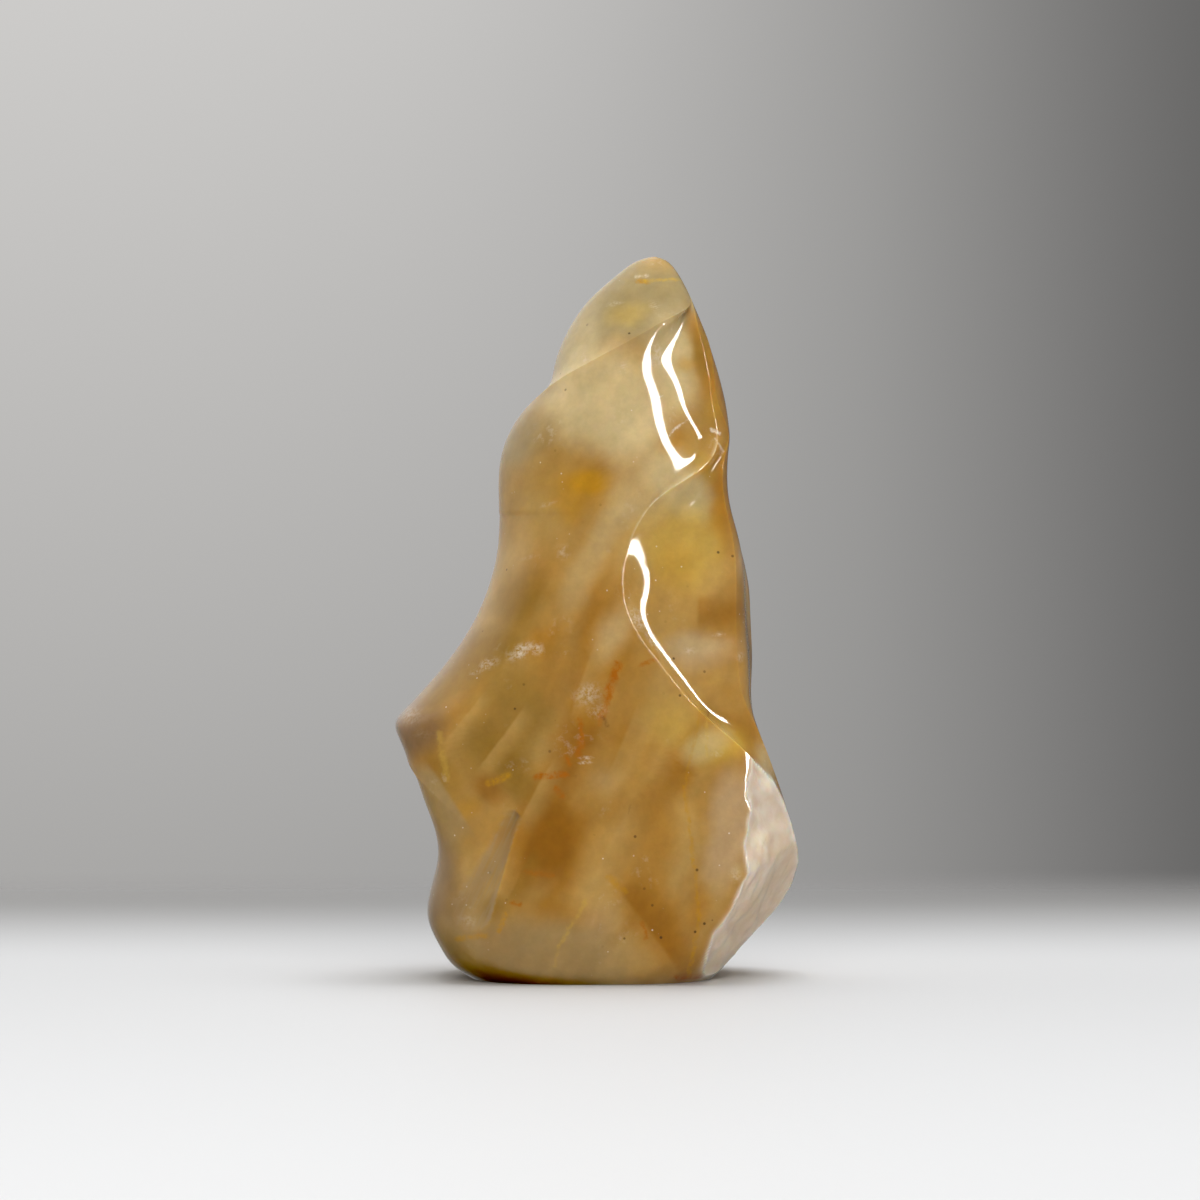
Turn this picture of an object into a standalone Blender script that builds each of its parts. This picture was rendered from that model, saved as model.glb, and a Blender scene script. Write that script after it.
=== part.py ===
"""A polished quartz flame: one solid stone, ground from a lump with concave scoops that meet in sharp crests.

The stone is a loft of rings, one above the other. A ring starts as the outline of the lump before it is
carved. Each scoop then takes its depth off the ring between two edges, two flat cuts trim what is left, and
a thumb cut grooves it. The columns of the loft follow the crests, so that every crest is a line of edges.

X is to the right, -Y is the front and Z is up. The origin is the middle of the flat foot.
Run with: blender --background --python part.py
"""

from dataclasses import dataclass
from math import cos, pi, radians, sin

import bmesh
import bpy
import numpy as np

MM = 0.001

RING_COUNT = 78
COLUMNS_PER_FACE = (13, 13, 7, 7, 11)
CREST_CROWDING = 0.7
SHARP_EDGE = 25.0

STONE_COLOUR = (0.60, 0.40, 0.14, 1.0)
STONE_ROUGHNESS = 0.06
STONE_INDEX_OF_REFRACTION = 1.54


@dataclass(frozen=True)
class LumpRing:
    """The uncarved lump at one height, in millimetres: how far it reaches to each side of the origin.

    Squareness is the power of its front outline: 2 is an ellipse, and more is closer to a box.
    """

    height: float
    left: float
    right: float
    front: float
    back: float
    squareness: float


LUMP = (
    LumpRing(0.0, -16.5, 17.0, -16.4, 14.6, 2.6),
    LumpRing(1.9, -19.1, 18.9, -18.0, 17.0, 3.0),
    LumpRing(4.3, -20.7, 21.1, -18.8, 18.4, 3.6),
    LumpRing(8.1, -22.4, 25.0, -19.2, 19.4, 4.4),
    LumpRing(13.0, -22.9, 29.0, -19.2, 19.6, 5.0),
    LumpRing(18.8, -22.9, 28.5, -19.0, 19.4, 5.4),
    LumpRing(25.0, -24.3, 26.7, -18.7, 18.8, 5.8),
    LumpRing(31.0, -25.4, 24.5, -18.4, 18.0, 5.6),
    LumpRing(33.6, -26.5, 23.6, -18.2, 17.6, 5.0),
    LumpRing(35.2, -26.9, 23.1, -18.0, 17.2, 4.4),
    LumpRing(37.2, -25.6, 22.7, -17.7, 16.9, 3.6),
    LumpRing(43.6, -19.9, 22.7, -16.9, 16.1, 2.5),
    LumpRing(49.0, -16.3, 22.5, -16.2, 15.4, 2.1),
    LumpRing(55.7, -13.6, 22.5, -15.4, 14.8, 2.0),
    LumpRing(60.0, -12.8, 21.9, -15.0, 14.4, 2.0),
    LumpRing(66.0, -12.7, 20.3, -14.4, 13.8, 2.0),
    LumpRing(72.1, -12.4, 20.2, -13.6, 13.0, 2.0),
    LumpRing(78.6, -9.2, 20.4, -12.4, 11.6, 2.0),
    LumpRing(81.2, -7.3, 19.8, -11.7, 11.1, 2.0),
    LumpRing(84.3, -6.7, 18.7, -10.8, 10.4, 2.0),
    LumpRing(88.0, -5.3, 16.8, -9.4, 9.2, 2.0),
    LumpRing(93.5, -1.2, 14.3, -6.8, 6.8, 2.0),
    LumpRing(97.6, 3.7, 12.3, -4.0, 4.2, 2.0),
    LumpRing(99.3, 6.3, 10.9, -2.2, 2.2, 2.0),
    LumpRing(100.0, 8.6, 9.2, -0.3, 0.3, 2.0),
)

# Each crest is a list of (height in millimetres, turn in degrees). A turn is measured round the ring's own
# middle: 180 is left, 270 is front and 360 is right. The crests never cross, and this is their order.
CRESTS = {
    "back": ((0, 100), (12, 104), (22, 112), (30, 118), (38, 108), (48, 88), (60, 78), (70, 84), (80, 100),
             (88, 122), (95, 150), (100, 160)),
    "left": ((0, 242), (8, 241), (16, 238), (20, 235), (23, 231), (25.5, 227), (28.7, 218), (32, 198),
             (35, 181), (39, 171), (46, 160), (56, 154), (66, 158), (74, 168), (78.5, 182), (81.2, 202),
             (84.3, 236), (88, 270), (91.2, 300), (94.5, 340), (100, 348)),
    "front": ((0, 305), (10, 307), (19, 310), (25, 315), (28, 318), (33, 313), (38.7, 305), (44, 291),
              (48, 280), (52.5, 272), (56, 270), (60, 273), (64.2, 282), (66, 288), (71, 313), (75, 330),
              (80, 318), (84.3, 322), (89, 333), (93.5, 342), (96, 350), (100, 354)),
    "right": ((0, 345), (30, 345), (40, 338), (47, 330), (53, 326), (61, 332), (67.5, 339), (75, 333),
              (80, 321), (84.3, 325), (89, 337), (93.5, 345), (96, 354), (100, 360)),
    "far_right": ((0, 352), (6, 352), (13, 356), (18, 360), (24, 364), (32, 368), (40, 366), (46, 364),
                  (52, 368), (58, 378), (65, 394), (72, 412), (80, 420), (88, 404), (94, 396), (100, 400)),
}

# Where the top flute eases out of the front face with no crest.
SHOULDER = ((60, 280), (66, 281), (70, 275), (74.6, 268), (80, 262), (84, 262), (88, 270), (91.2, 300),
            (94.5, 340), (100, 348))


@dataclass(frozen=True)
class Scoop:
    """A concave cut between two edges. Its depths are (height in millimetres, depth in millimetres).

    Lean is where it is deepest, as a share of the way across. A feathered one starts with no edge.
    """

    start: str
    end: str
    depths: tuple
    lean: float = 0.5
    feathered: bool = False


SCOOPS = (
    Scoop("back", "left", ((0, 0), (34, 0), (40, 2.0), (46, 3.2), (56, 3.2), (66, 3.0), (74, 2.6), (80, 1.8),
                           (86, 1.6), (92, 1.2), (97, 0.5), (100, 0))),
    Scoop("back", "left", ((0, 0), (8, 0), (12, 0.8), (18, 2.2), (22, 2.2), (25, 1.9), (29, 1.6), (38, 1.4),
                           (46, 0), (100, 0)), lean=0.66),
    Scoop("front", "right", ((0, 0), (18, 0), (24, 0.5), (30, 0.9), (38, 1.0), (42, 1.1), (46, 1.5),
                             (52, 1.9), (58, 1.8), (64, 1.3), (68, 0.8), (72, 0.3), (75, 0), (100, 0)),
          lean=0.34),
    Scoop("shoulder", "front", ((0, 0), (63, 0), (67, 0.5), (71, 1.4), (75, 2.2), (80, 2.4), (84, 2.2),
                                (89, 1.7), (93, 0.9), (97, 0.1), (100, 0)), feathered=True),
    Scoop("right", "far_right", ((0, 0), (30, 0), (38, 0.5), (46, 0.8), (52, 1.0), (60, 1.2), (70, 1.6),
                                 (78, 1.6), (88, 1.0), (95, 0.3), (100, 0))),
    Scoop("far_right", "back", ((0, 0), (8, 0), (12, 0.4), (20, 1.8), (30, 3.0), (40, 3.4), (50, 3.2),
                                (60, 3.0), (70, 3.0), (80, 2.4), (90, 1.4), (96, 0.4), (100, 0))),
)


@dataclass(frozen=True)
class FlatCut:
    """A flat trim of the stone, which takes off all that lies beyond the plane through the point.

    The point is in millimetres. Facing is the turn the plane looks to and tilt is how far up it looks.
    """

    point: tuple
    facing: float
    tilt: float


RAW_FACE = FlatCut((22.6, -16.4, 19.0), facing=330.0, tilt=4.0)
RAW_BEVEL = FlatCut((26.6, -9.8, 17.6), facing=339.0, tilt=-29.0)


@dataclass(frozen=True)
class ThumbCut:
    """A short groove with round ends, ground along a line from its foot to its head, in millimetres."""

    foot: tuple
    head: tuple
    foot_radius: float
    head_radius: float
    depth: float


THUMB_CUT = ThumbCut((-15.9, -18.0, 10.2), (-10.4, -18.6, 23.0), 2.9, 0.9, 1.1)


def track(stations):
    """A smooth function through (place, value) stations, with no overshoot between them."""
    places, values = (np.array(column, float) for column in zip(*stations))
    steps = np.diff(places)
    slopes = np.diff(values) / steps
    tangents = np.zeros_like(values)
    same_way = slopes[:-1] * slopes[1:] > 0
    before, after = slopes[:-1][same_way], slopes[1:][same_way]
    tangents[1:-1][same_way] = 2 * before * after / (before + after)
    tangents[0], tangents[-1] = slopes[0], slopes[-1]

    def value(place):
        at = np.clip(np.searchsorted(places, place) - 1, 0, len(steps) - 1)
        step = steps[at]
        t = np.clip((place - places[at]) / step, 0, 1)
        return (
            values[at] * (1 + 2 * t) * (1 - t) ** 2
            + tangents[at] * step * t * (1 - t) ** 2
            + values[at + 1] * t * t * (3 - 2 * t)
            - tangents[at + 1] * step * t * t * (1 - t)
        )

    return value


def smooth_rows(stations, shares):
    """Rows of numbers on the smooth curve that passes through the stations, at shares of its length."""
    points = np.array(stations, float)
    steps = np.linalg.norm(np.diff(points[:, :3], axis=0), axis=1)
    places = np.concatenate([[0], np.cumsum(steps)])
    system = np.eye(len(points))
    pull = np.zeros_like(points)
    for i in range(1, len(points) - 1):
        system[i, i - 1 : i + 2] = steps[i - 1], 2 * (steps[i - 1] + steps[i]), steps[i]
        pull[i] = 6 * ((points[i + 1] - points[i]) / steps[i] - (points[i] - points[i - 1]) / steps[i - 1])
    bend = np.linalg.solve(system, pull)
    place = np.asarray(shares) * places[-1]
    at = np.clip(np.searchsorted(places, place) - 1, 0, len(steps) - 1)
    step, gone, left = steps[at][:, None], (place - places[at])[:, None], (places[at + 1] - place)[:, None]
    return (
        (bend[at] * left**3 + bend[at + 1] * gone**3) / (6 * step)
        + (points[at] / step - bend[at] * step / 6) * left
        + (points[at + 1] / step - bend[at + 1] * step / 6) * gone
    )


def crest_turns(height):
    """The turn of every crest at this height, in order round the stone, in degrees."""
    return {name: float(track(stations)(height)) for name, stations in CRESTS.items()}


def column_turns(crests):
    """The turns of a ring's columns. They follow the crests, and crowd towards them."""
    order = list(crests.values())
    order.append(order[0] + 360)
    columns = []
    for start, end, count in zip(order, order[1:], COLUMNS_PER_FACE):
        share = np.arange(count) / count
        share = share - CREST_CROWDING * np.sin(2 * pi * share) / (2 * pi)
        columns.append(start + (end - start) * share)
    return np.concatenate(columns)


def lump_outline(turns, left, right, front, back, squareness):
    """The outline of the lump at these turns: its middle, the directions from it and the reach along them."""
    angle = np.radians(turns)
    across, along = np.cos(angle), np.sin(angle)
    power = np.where(along < 0, squareness, 2)
    swell = (np.abs(across) ** power + np.abs(along) ** power) ** (-1 / power)
    spokes = np.column_stack([(right - left) / 2 * across, (back - front) / 2 * along]) * swell[:, None]
    reach = np.linalg.norm(spokes, axis=1)
    middle = np.array([left + right, front + back]) / 2
    return middle, spokes / reach[:, None], reach


def scoop_profile(scoop, across):
    """The share of a scoop's depth that is taken at each share of the way across it. The most is 1."""
    if scoop.feathered:
        return 27 / 4 * across**2 * (1 - across)
    skewed = across / (across + (1 - across) * scoop.lean / (1 - scoop.lean))
    return 4 * skewed * (1 - skewed)


def scoop_depths(height, turns, crests):
    """How much the scoops take off a ring at each of its turns, in millimetres."""
    edges = crests | {"shoulder": float(track(SHOULDER)(height))}
    taken = np.zeros_like(turns)
    for scoop in SCOOPS:
        start, end = edges[scoop.start], edges[scoop.end]
        end += 360 * (end < start)
        across = np.minimum((turns - start) % 360 / (end - start), 1)
        taken += float(track(scoop.depths)(height)) * scoop_profile(scoop, across)
    return taken


def thumb_depths(points, cut=THUMB_CUT):
    """How much the thumb cut takes off at each of these points, in millimetres."""
    foot, run = np.array(cut.foot), np.array(cut.head) - np.array(cut.foot)
    along = np.clip((points - foot) @ run / (run @ run), 0, 1)
    away = np.linalg.norm(points - foot - along[:, None] * run, axis=1)
    radius = cut.foot_radius + (cut.head_radius - cut.foot_radius) * along
    return cut.depth * np.maximum(0, 1 - (away / radius) ** 2)


def trimmed(cut, reach, middle, directions, height):
    """The reach of a ring from its middle along each direction, cut back to a flat cut."""
    facing, tilt = radians(cut.facing), radians(cut.tilt)
    normal = np.array([cos(tilt) * cos(facing), cos(tilt) * sin(facing), sin(tilt)])
    room = (np.array(cut.point) - [*middle, height]) @ normal
    closing = directions @ normal[:2]
    meets = closing > 1e-6
    return np.where(meets, np.minimum(reach, room / np.where(meets, closing, 1)), reach)


def ring_points(row):
    """The points of one ring of the loft, in metres."""
    left, right, height, front, back, squareness = row
    crests = crest_turns(height)
    turns = column_turns(crests)
    middle, directions, reach = lump_outline(turns, left, right, front, back, squareness)
    reach = reach - scoop_depths(height, turns, crests)
    for cut in (RAW_FACE, RAW_BEVEL):
        reach = trimmed(cut, reach, middle, directions, height)
    heights = np.full(len(turns), height)
    points = np.column_stack([middle + directions * reach[:, None], heights])
    reach = reach - thumb_depths(points)
    return np.column_stack([middle + directions * reach[:, None], heights]) * MM


def stone_mesh():
    """The stone's mesh: its rings, joined by a loft, with a flat foot and a closed tip."""
    stations = [(r.left, r.right, r.height, r.front, r.back, r.squareness) for r in LUMP]
    shape = bmesh.new()
    rings = []
    for row in smooth_rows(stations, np.linspace(0, 1, RING_COUNT)):
        rings.append([shape.verts.new(point) for point in ring_points(row)])
    for below, above in zip(rings, rings[1:]):
        for i in range(len(below)):
            shape.faces.new((below[i - 1], below[i], above[i], above[i - 1]))
    shape.faces.new(reversed(rings[0]))
    top = rings[-1]
    tip = shape.verts.new(np.mean([vert.co for vert in top], axis=0))
    for i in range(len(top)):
        shape.faces.new((top[i - 1], top[i], tip))
    bmesh.ops.recalc_face_normals(shape, faces=shape.faces)
    mesh = bpy.data.meshes.new("flame_stone")
    shape.to_mesh(mesh)
    shape.free()
    return mesh


def stone_material():
    """Polished yellow quartz."""
    material = bpy.data.materials.new("golden_quartz")
    material.use_nodes = True
    shader = material.node_tree.nodes["Principled BSDF"]
    shader.inputs["Base Color"].default_value = STONE_COLOUR
    shader.inputs["Roughness"].default_value = STONE_ROUGHNESS
    shader.inputs["Metallic"].default_value = 0.0
    shader.inputs["IOR"].default_value = STONE_INDEX_OF_REFRACTION
    return material


def main():
    for old in list(bpy.data.objects):
        bpy.data.objects.remove(old)
    collection = bpy.data.collections.new("quartz_flame")
    bpy.context.scene.collection.children.link(collection)
    stone = bpy.data.objects.new("flame_stone", stone_mesh())
    stone.data.materials.append(stone_material())
    stone.data.shade_smooth()
    stone.data.set_sharp_from_angle(angle=radians(SHARP_EDGE))
    collection.objects.link(stone)


main()
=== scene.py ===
"""A polished golden healer quartz flame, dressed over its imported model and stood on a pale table.

The stone is ground from a lump. Concave scoops meet in sharp crests, and one patch low on the right is left
unpolished. X is to the right, -Y is the front and Z is up. Lengths in the tables are millimetres, and
everything that reaches Blender is metres.
"""

from __future__ import annotations

import logging
from dataclasses import dataclass, field
from enum import Enum
from math import cos, pi, radians, sin
from typing import Any

import bpy
import numpy as np
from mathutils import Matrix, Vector


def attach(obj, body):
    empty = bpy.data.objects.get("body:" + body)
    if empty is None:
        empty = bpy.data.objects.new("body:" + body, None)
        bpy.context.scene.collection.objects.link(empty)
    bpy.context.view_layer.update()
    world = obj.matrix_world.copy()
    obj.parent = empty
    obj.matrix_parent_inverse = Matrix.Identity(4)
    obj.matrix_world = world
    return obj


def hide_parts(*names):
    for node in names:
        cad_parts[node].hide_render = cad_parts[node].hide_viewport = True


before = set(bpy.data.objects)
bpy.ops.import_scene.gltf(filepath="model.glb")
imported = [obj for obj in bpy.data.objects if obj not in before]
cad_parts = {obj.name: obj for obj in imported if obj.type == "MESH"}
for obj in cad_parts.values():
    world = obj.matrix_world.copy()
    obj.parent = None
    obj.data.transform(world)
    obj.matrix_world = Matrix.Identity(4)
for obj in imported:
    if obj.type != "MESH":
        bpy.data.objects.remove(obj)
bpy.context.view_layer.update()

log = logging.getLogger("quartz_flame")

MM = 0.001
TRACK_STEP = 0.1

Triple = tuple[float, float, float]
Socket = bpy.types.NodeSocket


# ----------------------------------------
# Node trees
# ----------------------------------------


class Graph:
    """A short way to add nodes to a tree and to link them."""

    def __init__(self, tree: bpy.types.NodeTree) -> None:
        """Work on a shader or geometry tree, which gets the nodes."""
        self.tree = tree

    def add(self, kind: str, inputs: dict[Any, Any] | None = None, **settings: Any) -> bpy.types.Node:
        """Add a node.

        Args:
            kind: The node's type.
            inputs: Values or sockets by the name or the place of the node's inputs.
            **settings: The node's own properties.

        Returns:
            The new node.
        """
        node = self.tree.nodes.new(kind)
        for name, value in settings.items():
            setattr(node, name, value)
        for place, value in (inputs or {}).items():
            self.feed(node.inputs[place], value)
        return node

    def feed(self, socket: Socket, value: Any) -> None:
        """Link a socket to another, or set its value.

        Args:
            socket: The input socket.
            value: An output socket or a plain value.
        """
        if isinstance(value, Socket):
            self.tree.links.new(value, socket)
        else:
            socket.default_value = value

    def math(self, operation: str, *values: Any, clamp: bool = False) -> Socket:
        """Add a Math node, and give its result."""
        inputs = dict(enumerate(values))
        return self.add("ShaderNodeMath", inputs, operation=operation, use_clamp=clamp).outputs[0]

    def vector(self, operation: str, *values: Any) -> Socket:
        """Add a Vector Math node.

        Args:
            operation: The node's operation.
            *values: Its vectors, values or sockets, in order.

        Returns:
            The vector result, or the value where the operation gives one.
        """
        node = self.add("ShaderNodeVectorMath", operation=operation)
        for place, value in enumerate(values):
            self.feed(node.inputs["Scale" if operation == "SCALE" and place == 1 else place], value)
        gives_value = operation in {"LENGTH", "DISTANCE", "DOT_PRODUCT"}
        return node.outputs["Value" if gives_value else "Vector"]

    def ramp(self, value: Any, low: Any, high: float, start: float = 0.0, end: float = 1.0) -> Socket:
        """Map a value smoothly, from start where it is low to end where it is high."""
        inputs = {"Value": value, "From Min": low, "From Max": high, "To Min": start, "To Max": end}
        return self.add("ShaderNodeMapRange", inputs, interpolation_type="SMOOTHSTEP").outputs["Result"]

    def noise(self, point: Any, size: float, detail: float = 2.0, **extra: Any) -> Socket:
        """Add a Noise Texture whose features have that size in millimetres, and give its value."""
        inputs = {"Vector": point, "Scale": 1 / (size * MM), "Detail": detail, **extra}
        return self.add("ShaderNodeTexNoise", inputs).outputs["Fac"]

    def drift(self, noise: Socket, reach: float) -> Socket:
        """A vector that wanders with a noise, by up to half that reach in millimetres to each side."""
        centred = self.vector("SUBTRACT", noise.node.outputs["Color"], (0.5, 0.5, 0.5))
        return self.vector("SCALE", centred, reach * MM)

    def attribute(self, name: str) -> Socket:
        """Read a value that the surface carries."""
        return self.add("ShaderNodeAttribute", attribute_name=name).outputs["Fac"]

    def blend(self, share: Any, below: Any, above: Any) -> Socket:
        """Mix two colours, with that share of the upper one."""
        inputs = {0: share, 6: below, 7: above}
        return self.add("ShaderNodeMix", inputs, data_type="RGBA", clamp_factor=True).outputs[2]

    def turned(self, point: Any, angle: Any) -> Socket:
        """Turn a point back by an angle in the plane of the front."""
        inputs = {"Vector": point, "Axis": (0.0, 1.0, 0.0), "Angle": angle}
        return self.add("ShaderNodeVectorRotate", inputs, rotation_type="AXIS_ANGLE", invert=True).outputs[0]

    def mask(self, group: bpy.types.NodeTree, point: Any, mark: Any) -> Socket:
        """The mask that a node group gives a cloud, veil or vein at a point."""
        inputs = {"Point": point, "Strength": mark.strength, **mark.inputs()}
        return self.add(group.bl_idname.replace("Tree", "Group"), inputs, node_tree=group).outputs["Mask"]

    def times(self, *values: Any, clamp: bool = False) -> Socket:
        """The product of two values."""
        return self.math("MULTIPLY", *values, clamp=clamp)


def node_group(name: str, kind: str, inputs: dict[str, Any], output: str) -> tuple[Any, Graph, Any, Any]:
    """Start a node group with named sockets.

    Args:
        name: The group's name.
        kind: ShaderNodeTree or GeometryNodeTree.
        inputs: What each input holds where nothing is linked to it, or the type of its socket, by its name.
        output: The name of the output: Surface for a surface, or else a value's.

    Returns:
        The tree, its graph, its input sockets and its output socket.
    """
    tree = bpy.data.node_groups.new(name, kind)
    for label, value in inputs.items():
        if isinstance(value, str):
            tree.interface.new_socket(label, in_out="INPUT", socket_type=value)
        else:
            socket_type = "NodeSocketVector" if isinstance(value, tuple) else "NodeSocketFloat"
            tree.interface.new_socket(label, in_out="INPUT", socket_type=socket_type).default_value = value
    socket_type = "NodeSocketGeometry" if output == "Surface" else "NodeSocketFloat"
    tree.interface.new_socket(output, in_out="OUTPUT", socket_type=socket_type)
    graph = Graph(tree)
    return tree, graph, graph.add("NodeGroupInput").outputs, graph.add("NodeGroupOutput").inputs[output]


def new_material(name: str) -> tuple[bpy.types.Material, Graph, bpy.types.Node, Socket]:
    """Start a material.

    Args:
        name: The material's name.

    Returns:
        The material, its graph, its Principled shader and the Object coordinates.
    """
    material = bpy.data.materials.new(name)
    material.use_nodes = True
    graph = Graph(material.node_tree)
    shader = material.node_tree.nodes["Principled BSDF"]
    return material, graph, shader, graph.add("ShaderNodeTexCoord").outputs["Object"]


# ----------------------------------------
# The form of the stone
# ----------------------------------------


@dataclass(frozen=True)
class Track:
    """A value along the stone's height, smooth between (height, value) stations, in millimetres."""

    stations: tuple[tuple[float, float], ...]

    def at(self, heights: np.ndarray, softness: float) -> np.ndarray:
        """Read the track.

        Args:
            heights: The heights, in millimetres.
            softness: How far a bend in the track is spread, in millimetres.

        Returns:
            The values at those heights.
        """
        places, values = (np.array(column, float) for column in zip(*self.stations))
        steps = np.diff(places)
        slopes = np.diff(values) / steps
        tangents = np.zeros_like(values)
        same_way = slopes[:-1] * slopes[1:] > 0
        before, after = slopes[:-1][same_way], slopes[1:][same_way]
        tangents[1:-1][same_way] = 2 * before * after / (before + after)
        tangents[0], tangents[-1] = slopes[0], slopes[-1]
        fine = np.arange(places[0], places[-1] + TRACK_STEP / 2, TRACK_STEP)
        at = np.clip(np.searchsorted(places, fine) - 1, 0, len(steps) - 1)
        step = steps[at]
        t = np.clip((fine - places[at]) / step, 0, 1)
        curve = (
            values[at] * (1 + 2 * t) * (1 - t) ** 2
            + tangents[at] * step * t * (1 - t) ** 2
            + values[at + 1] * t * t * (3 - 2 * t)
            - tangents[at + 1] * step * t * t * (1 - t)
        )
        return np.interp(heights, fine, softened(curve, softness / TRACK_STEP))


def hump(*stations: tuple[float, float]) -> Track:
    """A track with those stations that is nothing at both its ends, 0 and 100."""
    return Track(((0, 0), *stations, (100, 0)))


def softened(curve: np.ndarray, spread: float) -> np.ndarray:
    """Smooth a row of numbers, and keep its ends.

    Args:
        curve: The numbers, evenly spaced along the first axis.
        spread: The standard deviation of the smoothing, in steps.

    Returns:
        The smoothed numbers.
    """
    reach = int(3 * spread) + 1
    weights = np.exp(-0.5 * (np.arange(-reach, reach + 1) / spread) ** 2)
    weights /= weights.sum()
    start = 2 * curve[0] - curve[reach:0:-1]
    end = 2 * curve[-1] - curve[-2 : -reach - 2 : -1]
    return np.convolve(np.concatenate([start, curve, end]), weights, mode="valid")


def wandering(points: np.ndarray, size: float, seed: int, waves: int = 16) -> np.ndarray:
    """A smooth field that wanders round zero.

    Args:
        points: Where it is read, one point to a row.
        size: The width of its bumps, in the points' unit.
        seed: The seed of its waves.
        waves: How many waves it is made of.

    Returns:
        The field, mostly between -1 and 1.
    """
    draw = np.random.default_rng(seed)
    ways = draw.normal(size=(waves, 3))
    ways /= np.linalg.norm(ways, axis=1, keepdims=True)
    lengths = 2 * size * draw.uniform(0.7, 1.6, waves)
    phases = draw.uniform(0, 2 * pi, waves)
    return np.sin(points @ (ways / lengths[:, None]).T * 2 * pi + phases).sum(axis=-1) / np.sqrt(waves)


@dataclass(frozen=True)
class LumpRing:
    """The uncarved lump at one height: how far it reaches to each side, and how square its front is."""

    height: float
    left: float
    right: float
    front: float
    back: float
    squareness: float


@dataclass(frozen=True)
class Scoop:
    """A concave cut between two crests, with its depth along the height.

    Lean is where it is deepest, as a share of the way across. Shape, where it is given, says what share of the
    depth is taken at each percent of the way across.
    """

    start: str
    end: str
    depth: Track
    lean: float = 0.5
    shape: Track | None = None
    shape_softness: float = 5.0

    def profile(self, across: np.ndarray) -> np.ndarray:
        """Read the cut's profile.

        Args:
            across: Shares of the way across, from the start crest to the end crest.

        Returns:
            The share of the depth that is taken at each.
        """
        if self.shape:
            return self.shape.at(100 * across, self.shape_softness)
        skewed = across / (across + (1 - across) * self.lean / (1 - self.lean))
        return 4 * skewed * (1 - skewed)


@dataclass(frozen=True)
class FlatCut:
    """A flat trim: what lies beyond the plane through the point is gone.

    Facing is the turn the plane looks to and tilt is how far up it looks, in degrees. Relief is how far the
    broken surface wanders off the plane.
    """

    point: Triple
    facing: float
    tilt: float
    relief: float = 0.0

    def room(self, starts: np.ndarray, directions: np.ndarray) -> np.ndarray:
        """Find how much room the cut leaves.

        Args:
            starts: Points, one to each direction.
            directions: Directions of length one.

        Returns:
            How far one can go from each start along its direction before the cut.
        """
        facing, tilt = radians(self.facing), radians(self.tilt)
        normal = np.array([cos(tilt) * cos(facing), cos(tilt) * sin(facing), sin(tilt)])
        closing = directions @ normal
        meets = closing > 1e-6
        gap = (np.array(self.point) - starts) @ normal
        return np.where(meets, gap / np.where(meets, closing, 1), np.inf)


@dataclass(frozen=True)
class ThumbCut:
    """A short groove with round ends, ground along a line from its foot to its head."""

    foot: Triple
    head: Triple
    foot_radius: float
    head_radius: float
    depth: float

    def depths(self, points: np.ndarray) -> np.ndarray:
        """Find how much the cut takes off.

        Args:
            points: Points on the surface.

        Returns:
            The depth of the cut at each.
        """
        foot, run = np.array(self.foot), np.array(self.head) - np.array(self.foot)
        along = np.clip((points - foot) @ run / (run @ run), 0, 1)
        away = np.linalg.norm(points - foot - along[..., None] * run, axis=-1)
        radius = self.foot_radius + (self.head_radius - self.foot_radius) * along
        return self.depth * np.maximum(0, 1 - (away / radius) ** 2)


LUMP = tuple(LumpRing(*row) for row in (
    (0, -16.5, 17, -16.9, 14.6, 2.6),
    (1.9, -19.1, 18.9, -18.6, 17, 3),
    (4.3, -20.7, 21.1, -19.1, 18.4, 3.6),
    (8.1, -22.4, 25, -19.2, 19.4, 4.4),
    (13, -22.9, 29, -19.2, 19.6, 5),
    (18.8, -22.9, 28.5, -19, 19.4, 5.4),
    (25, -24.3, 26.7, -18.7, 18.8, 5.8),
    (31, -25.4, 24.5, -18.4, 18, 5.6),
    (33.6, -26.5, 23.6, -18.2, 17.6, 5),
    (35.2, -26.9, 23.1, -18, 17.2, 4.4),
    (37.2, -25.6, 22.7, -17.7, 16.9, 3.6),
    (43.6, -19.9, 22.7, -16.9, 16.1, 2.5),
    (49, -16.3, 22.5, -16.8, 15.4, 2.1),
    (55.7, -13.6, 22.5, -16.6, 14.8, 2),
    (60, -12.8, 21.9, -15, 14.4, 2),
    (66, -12.7, 20.3, -14.2, 13.8, 2),
    (72.1, -12.4, 20.2, -13.6, 13, 2),
    (78.6, -9.2, 20.4, -12.4, 11.6, 2),
    (81.2, -7.3, 19.8, -11.7, 11.1, 2),
    (84.3, -6.7, 18.7, -10.8, 10.4, 2),
    (88, -5.3, 16.8, -9.4, 9.2, 2),
    (93.5, -1.2, 14.3, -6.8, 6.8, 2),
    (97.6, 3.7, 12.3, -4, 4.2, 2),
    (99.3, 6.3, 10.9, -2.2, 2.2, 2),
    (100, 8.6, 9.2, -0.3, 0.3, 2),
))

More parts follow.
